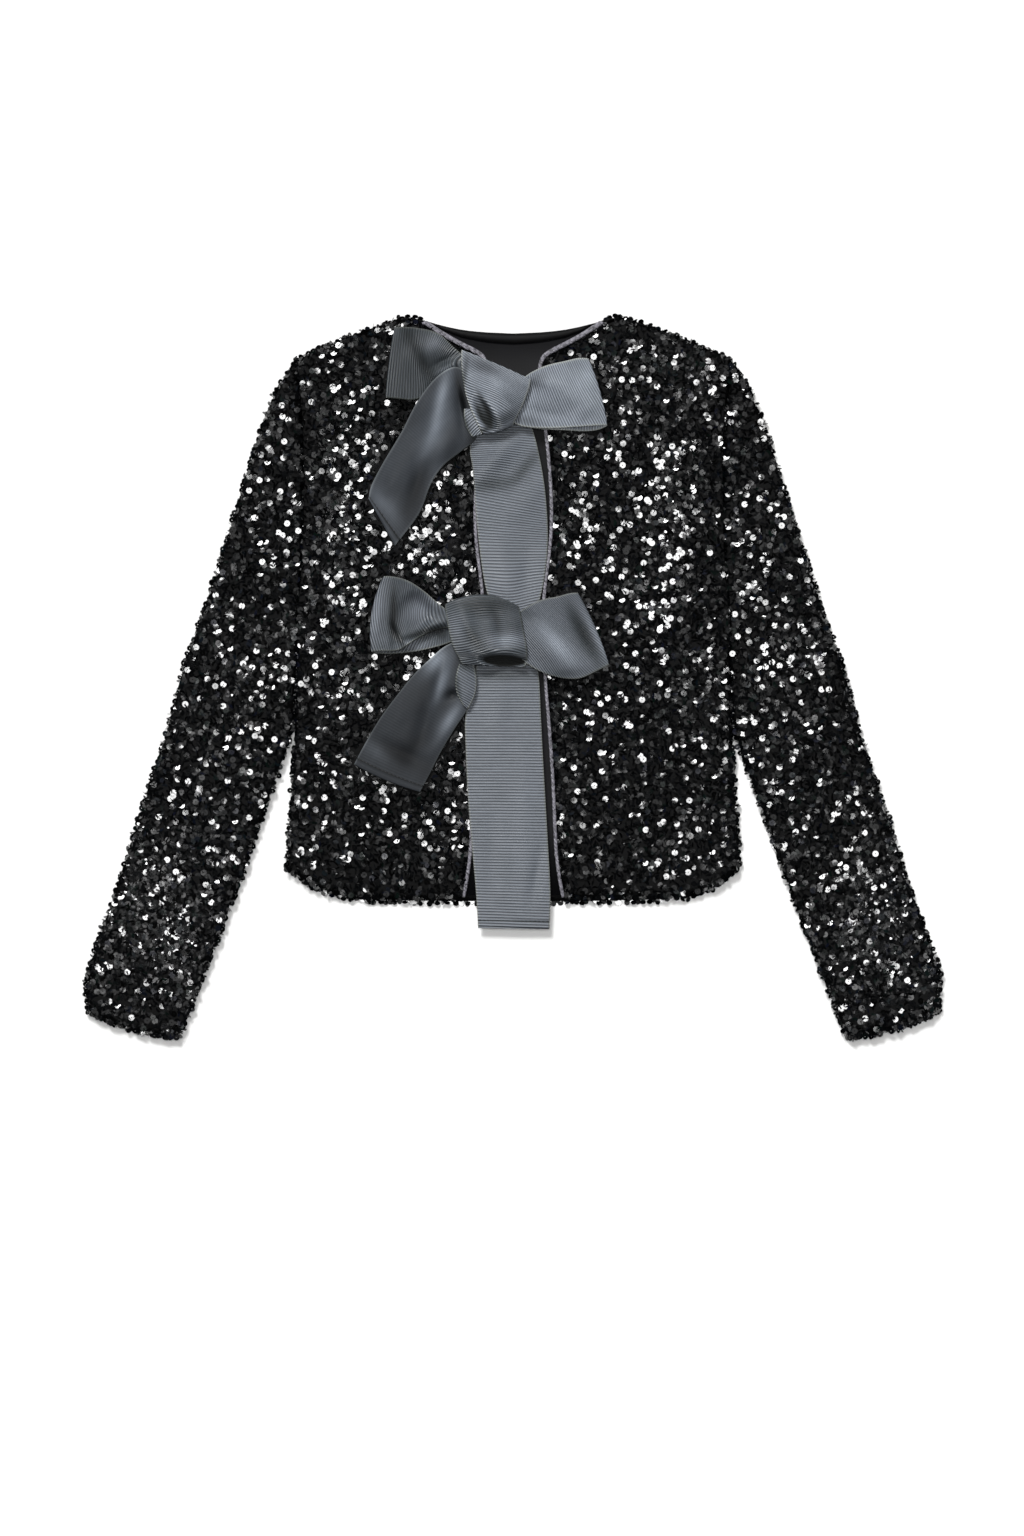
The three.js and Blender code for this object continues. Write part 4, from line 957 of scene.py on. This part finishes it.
def on_sewn_line(x, y):
    """Whether a place lies on the armhole seam or on the stitches of a turn-up."""
    part = (SHOULDER[1] - y) / (SHOULDER[1] - UNDERARM[1])
    if ARMHOLE_STITCHED < part < 1 and abs(abs(x) - armhole_x(part)) < SEAM_HALF:
        return True
    place = Vector((abs(x), y))
    for line in SEWN_LINES:
        for start, end in zip(line, line[1:]):
            start, end = Vector(start), Vector(end)
            share = min(max((place - start).dot(end - start) / (end - start).length_squared, 0), 1)
            if (place - start.lerp(end, share)).length < SEAM_HALF:
                return True
    return False


def ribbon_cover(tree, place):
    """Whether all five rays from round a place meet the ribbon, and whether one meets it close above."""
    heights = []
    for dx, dy in ((0, 0), (1, 0), (-1, 0), (0, 1), (0, -1)):
        start = Vector((place[0] + dx * COVERED_REACH * MM, place[1] + dy * COVERED_REACH * MM, place[2]))
        heights.append(tree.ray_cast(start, UP, COVERED_HEIGHT * MM)[3])
    return None not in heights, any(h is not None and h < PRESSING_HEIGHT * MM for h in heights)


def sequin_mesh(name, centres, normals, spins, bends, radius, sides, hole_sides):
    """One mesh of discs, each slightly bent. With hole sides, each is a ring round a punched hole."""
    turn = np.where(np.abs(normals[:, 2:3]) < 0.9, [[0.0, 0.0, 1.0]], [[1.0, 0.0, 0.0]])
    first = np.cross(normals, turn)
    first /= np.linalg.norm(first, axis=1)[:, None]
    second = np.cross(normals, first)
    rings = [(sides, radius)]
    if hole_sides:
        rings.append((hole_sides, radius * HOLE_SHARE))
    points = []
    for count, reach in rings:
        angles = spins[:, None] + np.arange(count)[None, :] * (2 * math.pi / count)
        warp = bends[:, None] * (reach / radius) ** 2 * np.cos(2 * (angles - spins[:, None]))
        points.append(
            centres[:, None, :]
            + reach * np.cos(angles)[:, :, None] * first[:, None, :]
            + reach * np.sin(angles)[:, :, None] * second[:, None, :]
            + warp[:, :, None] * normals[:, None, :]
        )
    points = np.concatenate(points, axis=1)
    per = points.shape[1]
    faces = []
    if hole_sides:
        step = sides // hole_sides
        for k in range(sides):
            inner = sides + ((k + step // 2) // step) % hole_sides
            faces.append((k, (k + 1) % sides, inner))
        for k in range(hole_sides):
            middle = (k * step + step - step // 2) % sides
            faces.append((sides + k, middle, sides + (k + 1) % hole_sides))
    else:
        faces = [(0, k, k + 1) for k in range(1, sides - 1)]
    pattern = np.array(faces)
    index = (pattern[None, :, :] + (np.arange(len(centres)) * per)[:, None, None]).reshape(-1)
    mesh = bpy.data.meshes.new(name)
    mesh.vertices.add(points.shape[0] * per)
    mesh.vertices.foreach_set("co", points.reshape(-1).astype(np.float32))
    mesh.loops.add(len(index))
    mesh.loops.foreach_set("vertex_index", index.astype(np.int32))
    total = len(index) // 3
    mesh.polygons.add(total)
    mesh.polygons.foreach_set("loop_start", np.arange(0, len(index), 3, dtype=np.int32))
    mesh.update(calc_edges=True)
    return mesh, len(pattern)


def lay_sequins(name, node, upward, settings, cover, seed):
    """Sews sequins all over one side of a cloth piece, as one mesh."""
    spacing = settings.sequin_spacing if upward else settings.under_spacing
    places, leans = scatter(node, upward, spacing, seed)
    chance = np.random.default_rng(seed + 1)
    own = cad_tree(node)
    centres, normals, spins, tints, bends = [], [], [], [], []
    for place, lean in zip(places, leans):
        x, y = place[0] / MM, place[1] / MM
        calm = min(fold_height(SMOOTH_PLACES, x, y), 1.0)
        if node == "back_panel" and abs(x) < NECK_HALF and y > NECK_BOTTOM:
            beyond = Vector((place[0] * NECK_NARROWING, place[1] + NECK_CLEAR * MM, BELOW * MM))
            if lean[2] > -LEVEL or own.ray_cast(beyond, UP, RAY_LENGTH * MM)[0] is None:
                continue
        spread = ROUGH_SPREAD - (ROUGH_SPREAD - SMOOTH_SPREAD) * calm
        stands = chance.random() <= STANDING_SHARE
        tilt = chance.uniform(*STANDING_TILTS) if stands else abs(chance.normal(0, spread))
        sink = LEAST_SINK + min(tilt / FULL_TILT, 1) * TILT_SINK + chance.uniform(0, CHANCE_SINK)
        if abs(lean[2]) < LEVEL:
            least, most = RIM_TILTS
            tilt = chance.uniform(least, most)
            sink = RIM_SINK - chance.uniform(0, RIM_RISE) * (tilt - least) / (most - least)
        if upward and lean[2] > LEVEL:
            covered, pressed = ribbon_cover(cover, place)
            if covered:
                continue
            if pressed:
                tilt, sink = min(tilt, PRESSED_TILT), PRESSED_SINK
            if on_sewn_line(x, y):
                if chance.random() < SEAM_GAPS:
                    continue
                tilt, sink = max(tilt, SEAM_TILT), SEAM_SINK
        if lean[2] < -LEVEL:
            tilt, sink = min(tilt, UNDER_TILT) * UNDER_TILT_SHARE, chance.uniform(*UNDER_SINKS)
        around = chance.uniform(0, 2 * math.pi)
        normal = Vector(lean)
        side = normal.orthogonal().normalized()
        across = normal.cross(side)
        turn = side * math.cos(around) + across * math.sin(around)
        leaned = normal * math.cos(math.radians(tilt)) + turn * math.sin(math.radians(tilt))
        bend = chance.normal(0, FLAT_BEND if tilt < spread * BENT_FROM else ROUGH_BEND) * MM
        centre = place - lean * sink * MM
        reach = settings.sequin_width / 2 * math.sqrt(max(1 - leaned.z**2, 0)) + abs(bend)
        centre[2] = max(centre[2], reach)
        centres.append(centre)
        normals.append(leaned)
        spins.append(chance.uniform(0, 2 * math.pi))
        tints.append(chance.random())
        bends.append(bend)
    sides, hole = (SEQUIN_SIDES, HOLE_SIDES) if upward else (UNDER_SIDES, 0)
    mesh, per = sequin_mesh(name, np.array(centres), np.array(normals), np.array(spins),
                            np.array(bends), settings.sequin_width / 2, sides, hole)
    mark(mesh, "tint", "FACE", np.repeat(np.array(tints, np.float32), per))
    return new_object(name, mesh, sequin_film(settings))


class JACKET_OT_shell(bpy.types.Operator):
    """Makes the net cloth of the back, the fronts and the sleeves"""

    bl_idname = "jacket.shell"
    bl_label = "Shell cloth"

    def execute(self, context):
        net = net_cloth()
        for node in SHELL:
            piece = cloth_from_node(node, node + "_cloth", CLOTH_INSET, 1, net)
            dress(piece, "sequinned_cloth", node)
        return {"FINISHED"}


class JACKET_OT_sequins(bpy.types.Operator):
    """Sews the sequins on the shell"""

    bl_idname = "jacket.sequins"
    bl_label = "Sequins"

    def execute(self, context):
        settings = context.scene.jacket
        cover = cad_tree(*BOWS)
        for order, (node, (flat, area, rests)) in enumerate(SHELL.items()):
            sewn = []
            if node != "back_panel":
                sewn.append(lay_sequins(node + "_sequins", node, True, settings, cover, FIRST_SEED + order))
            if not node.endswith("front"):
                sewn.append(lay_sequins(node + "_under_sequins", node, False, settings, cover,
                                        FIRST_UNDER_SEED + order))
            for piece in sewn:
                dress(piece, "sequinned_cloth")
        return {"FINISHED"}


class JACKET_OT_lining(bpy.types.Operator):
    """Makes the back's lining and its neck facing"""

    bl_idname = "jacket.lining"
    bl_label = "Lining and facing"

    def execute(self, context):
        black = lining_cloth("black_polyester_lining", "08080a", "0d0d10")
        lining = cloth_from_node("back_lining", "back_lining_cloth", LINING_INSET, 0, black)
        dress(lining, "black_lining", "back_lining")
        crepe = lining_cloth("black_facing_crepe", "030304", "060607")
        facing = cloth_from_node("back_neck_facing", "back_neck_facing_cloth", LINING_INSET, 0, crepe)
        dress(facing, "black_lining", "back_neck_facing")
        return {"FINISHED"}


class JACKET_OT_bindings(bpy.types.Operator):
    """Makes the satin binding of both front edges"""

    bl_idname = "jacket.bindings"
    bl_label = "Bindings"

    def execute(self, context):
        satin = binding_satin(context.scene.jacket)
        for node, front in (("left_binding", "left_front_cloth"), ("right_binding", "right_front_cloth")):
            piece = cloth_from_node(node, node + "_satin", 0, 2, satin)
            dress(piece, "satin_binding", node)
        return {"FINISHED"}


class JACKET_OT_bows(bpy.types.Operator):
    """Makes the ribbon of both bows, with its creases, pale edges and hems"""

    bl_idname = "jacket.bows"
    bl_label = "Ribbon bows"

    def execute(self, context):
        settings = context.scene.jacket
        face, reverse, thread = grosgrain_face(settings), grosgrain_reverse(settings), sewing_thread()
        for name in RIBBONS:
            piece, length = self.ribbon(name, reverse if name in REVERSE_SIDE else face)
            dress(piece, "grosgrain_ribbon", *([name] if name in BOWS else []))
            if name in HEMMED:
                stitches = self.hem_stitches(name, length, thread)
                dress(stitches, "grosgrain_ribbon")
            shown_cut(name)
        return {"FINISHED"}

    def rows(self, name):
        """The ribbon's middle surface: its rows' shares along it, their points, and the metres to each."""
        count, columns = RIBBON_GRID[name.split("_")[-1]]
        spot = ribbon_place(name)
        shares = [i / count for i in range(count + 1)]
        if name in HEMMED:
            length = sum((spot(b, 0.5) - spot(a, 0.5)).length for a, b in zip(shares, shares[1:]))
            shares = sorted(shares + [1 - (HEMMED[name] + step) * MM / length for step in HEM_ROWS])
        grid = [[spot(share, j / columns) for j in range(columns + 1)] for share in shares]
        along = [0.0]
        for last, row in zip(grid, grid[1:]):
            along.append(along[-1] + max((row[k] - last[k]).length for k in (0, columns // 2, columns)))
        return shares, grid, along

    def body(self, name, grid, rises):
        """A closed body round the middle surface, with its outer side raised where the hem is."""
        last_row, last_column = len(grid) - 1, len(grid[0]) - 1
        half = RIBBON_THICKNESS / 2
        outer, inner = [], []
        for i, (row, rise) in enumerate(zip(grid, rises)):
            normals = []
            for j in range(len(row)):
                ahead = grid[min(i + 1, last_row)][j] - grid[max(i - 1, 0)][j]
                over = row[min(j + 1, last_column)] - row[max(j - 1, 0)]
                normals.append(ahead.cross(over).normalized())
            outer.append([point + normal * (half + rise) * MM for point, normal in zip(row, normals)])
            inner.append([point - normal * half * MM for point, normal in zip(row, normals)])
        points, faces, spots = closed_sheet(outer, inner)
        mesh = bpy.data.meshes.new(name + "_ribbon")
        mesh.from_pydata([tuple(p) for p in points], [], faces)
        shape = bmesh.new()
        shape.from_mesh(mesh)
        if shape.calc_volume(signed=True) < 0:
            bmesh.ops.reverse_faces(shape, faces=shape.faces)
        shape.to_mesh(mesh)
        shape.free()
        return mesh, spots

    def across(self, grid):
        """How far each point is across its row from the middle, and from the nearer edge, in metres."""
        places = []
        for row in grid:
            steps = [0.0]
            for last, point in zip(row, row[1:]):
                steps.append(steps[-1] + (point - last).length)
            middle = steps[-1] / 2
            places.append([(step - middle, min(step, steps[-1] - step)) for step in steps])
        return places

    def ribbon(self, name, material):
        """The ribbon, with a UV map of metres across and along it, and the values that its material reads."""
        shares, grid, along = self.rows(name)
        flat = [[(p.x / MM, p.y / MM) for p in row] for row in grid]
        hem = HEMMED.get(name, 0)
        from_end = [(along[-1] - reached) / MM for reached in along]
        mesh, spots = self.body(name, grid, [
            HEM_RISE * (1 - smooth_step(past, hem, hem + HEM_STEP)) if hem else 0 for past in from_end
        ])
        across = self.across(grid)
        first_lean, last_lean = RIB_LEAN.get(name, (0, 0))
        bends = RIB_BENDS.get(name, ())
        ribs = []
        for i, share in enumerate(shares):
            lean = math.tan(math.radians(first_lean + (last_lean - first_lean) * share))
            ribs.append([
                along[i] + lean * over + fold_height(bends, *place) * MM
                for (over, _), place in zip(across[i], flat[i])
            ])
        layer = mesh.uv_layers.new(name="cloth")
        for loop in mesh.loops:
            i, j = spots[loop.vertex_index]
            layer.data[loop.index].uv = (across[i][j][0], ribs[i][j])
        knotted = name.endswith("knot")
        # Painted shade in the knots' pockets, darker where they sink deeper
        mark(mesh, "pocket_shade", "POINT", [
            smooth_step(-crease_height(name, *flat[i][j]), *POCKET_DEPTH) if knotted else 0 for i, j in spots
        ])
        mark(mesh, "selvedge", "POINT", [
            SELVEDGE_SHARE * (1 - smooth_step(across[i][j][1] / MM, *SELVEDGE_WIDTH)) for i, j in spots
        ])
        # A line of painted shade along the hem's stitches
        hem_line = [
            1 - HEM_SHADE * math.exp(-((past - hem) / HEM_SHADE_WIDTH) ** 2) if hem else 1
            for past in from_end
        ]
        # Painted light and shade of the ribbon, with the hem's line of painted shade
        mark(mesh, "painted_light", "POINT", [painted_light(name, *flat[i][j]) * hem_line[i] for i, j in spots])
        piece = new_object(name + "_ribbon", mesh, material)
        for polygon in mesh.polygons:
            polygon.use_smooth = True
        return piece, along[-1]

    def hem_stitches(self, name, length, material):
        """Short raised stitches in a row across the ribbon's end."""
        spot = ribbon_place(name)
        part = 1 - HEMMED[name] * MM / length
        width = (spot(part, 0) - spot(part, 1)).length
        count = int(width / (STITCH_PITCH * MM))
        points, faces = [], []
        for k in range(count):
            start, end = ((k + share) / count for share in STITCH_ENDS)
            first, last = spot(part, start), spot(part, end)
            along = (last - first).normalized()
            ahead = (first - spot(part - 0.01, start)).normalized()
            normal = ahead.cross(along).normalized()
            if normal.z < 0:
                normal = -normal
            side = normal.cross(along)
            lift = normal * (RIBBON_THICKNESS / 2 + STITCH_LIFT) * MM
            base = len(points)
            for share, size in STITCH_RINGS:
                middle = first.lerp(last, share) + lift
                for q in range(STITCH_SIDES):
                    angle = q * math.pi * 2 / STITCH_SIDES
                    points.append(middle + (side * math.cos(angle) + normal * math.sin(angle)) * size * MM)
            end_ring = base + (len(STITCH_RINGS) - 1) * STITCH_SIDES
            for ring in range(base, end_ring, STITCH_SIDES):
                for q in range(STITCH_SIDES):
                    a, b = ring + q, ring + (q + 1) % STITCH_SIDES
                    faces.append((a, b, b + STITCH_SIDES, a + STITCH_SIDES))
            faces.append(tuple(base + q for q in reversed(range(STITCH_SIDES))))
            faces.append(tuple(end_ring + q for q in range(STITCH_SIDES)))
        mesh = bpy.data.meshes.new(name + "_stitches")
        mesh.from_pydata([tuple(p) for p in points], [], faces)
        shape = bmesh.new()
        shape.from_mesh(mesh)
        bmesh.ops.recalc_face_normals(shape, faces=shape.faces)
        shape.to_mesh(mesh)
        shape.free()
        return new_object(name + "_stitches", mesh, material)


class JACKET_OT_stage(bpy.types.Operator):
    """Lays the paper floor, hangs the lamps and sets the camera above"""

    bl_idname = "jacket.stage"
    bl_label = "Stage"

    # The photograph's frame: 870.4 by 1305.6 mm round this middle, seen from straight above. The floor is
    # wide enough to fill a low view too
    middle = Vector((-0.0011, -0.0782, 0.009))
    frame_height = 1.3056
    lens = 85
    film = 36
    floor_width = 60

    # The key light comes from the far end of the table through a wide diffuser; watts for each square
    # metre, and its width in degrees
    key_from = (-1.2, 3.1, 3.6)
    key_power = 2.8
    key_width = 17

    # A small lamp nearly straight above, which the level sequins glint in: place, width, watts. Then the
    # strength of the white light from all round
    sparkle = ((0.0, 0.16, 3.4), 0.75, 40)
    room_light = 0.02

    # Cards round the set, which give the sequins something to mirror: way round and height above the
    # floor in degrees, width, brightness; and their distance
    reflectors = [
        (20, 60, 1.1, 0.75), (75, 44, 1.2, 0.6), (135, 66, 1.0, 0.75), (190, 48, 1.2, 0.6),
        (245, 62, 1.1, 0.6), (305, 50, 1.2, 0.6), (350, 36, 0.45, 3), (40, 76, 0.36, 2.8),
        (110, 54, 0.4, 3.4), (165, 72, 0.36, 2.8), (220, 70, 0.38, 2.8), (280, 72, 0.38, 3.2),
        (325, 66, 0.36, 2.8),
    ]
    reach = 3.2

    def execute(self, context):
        scene = context.scene
        settings = scene.jacket
        bpy.ops.mesh.primitive_plane_add(size=self.floor_width, location=(0, 0, 0))
        floor = context.active_object
        floor.name = "paper_floor"
        floor.data.materials.append(background_paper(settings))
        floor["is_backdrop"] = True
        self.lamp("key", "SUN", self.key_from, self.key_power, angle=math.radians(self.key_width))
        place, size, watts = self.sparkle
        self.lamp("sparkle", "AREA", place, watts, shape="SQUARE", size=size)
        for number, (turn, height, size, brightness) in enumerate(self.reflectors):
            turn, height = math.radians(turn), math.radians(height)
            place = [self.reach * v for v in (
                math.cos(turn) * math.cos(height), math.sin(turn) * math.cos(height), math.sin(height))]
            self.lamp(f"reflector_{number}", "AREA", place, brightness * math.pi * size * size,
                      shape="SQUARE", size=size)
        world = bpy.data.worlds.new("studio")
        world.use_nodes = True
        sky = world.node_tree.nodes["Background"]
        sky.inputs["Color"].default_value = (1, 1, 1, 1)
        sky.inputs["Strength"].default_value = self.room_light
        scene.world = world
        scene.view_settings.view_transform = "Standard"
        camera = bpy.data.cameras.new("camera")
        camera.lens = self.lens
        camera.sensor_width = self.film
        camera.clip_end = 50
        holder = bpy.data.objects.new("camera", camera)
        scene.collection.objects.link(holder)
        distance = self.frame_height * self.lens / self.film
        holder.location = self.middle + Vector((0, 0, distance))
        scene.camera = holder
        return {"FINISHED"}

    def lamp(self, name, kind, place, power, **settings):
        """Hangs a lamp of a kind at a place, turned to the jacket."""
        light = bpy.data.lights.new(name, kind)
        light.energy = power
        for setting, value in settings.items():
            setattr(light, setting, value)
        holder = bpy.data.objects.new(name, light)
        bpy.context.scene.collection.objects.link(holder)
        holder.location = place
        holder.rotation_euler = (-Vector(place)).to_track_quat("-Z", "Y").to_euler()


STEPS = (
    JACKET_OT_shell, JACKET_OT_sequins, JACKET_OT_lining, JACKET_OT_bindings, JACKET_OT_bows, JACKET_OT_stage,
)


class JACKET_PT_panel(bpy.types.Panel):
    """Lists the steps and settings of the jacket"""

    bl_idname = "JACKET_PT_panel"
    bl_label = "Jacket"
    bl_space_type = "VIEW_3D"
    bl_region_type = "UI"
    bl_category = "Jacket"

    def draw(self, context):
        for name in JacketSettings.__annotations__:
            self.layout.prop(context.scene.jacket, name)
        for step in STEPS:
            self.layout.operator(step.bl_idname)


CLASSES = (JacketSettings, *STEPS, JACKET_PT_panel)


def register():
    for each in CLASSES:
        bpy.utils.register_class(each)
    bpy.types.Scene.jacket = bpy.props.PointerProperty(type=JacketSettings)


def unregister():
    del bpy.types.Scene.jacket
    for each in reversed(CLASSES):
        bpy.utils.unregister_class(each)


def main():
    register()
    for step in STEPS:
        group, name = step.bl_idname.split(".")
        getattr(getattr(bpy.ops, group), name)()
    plain = lambda box: [[float(v) for v in corner] for corner in box]
    {"cad": plain(cad_box), "visual": plain(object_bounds())}


if __name__ == "__main__":
    main()
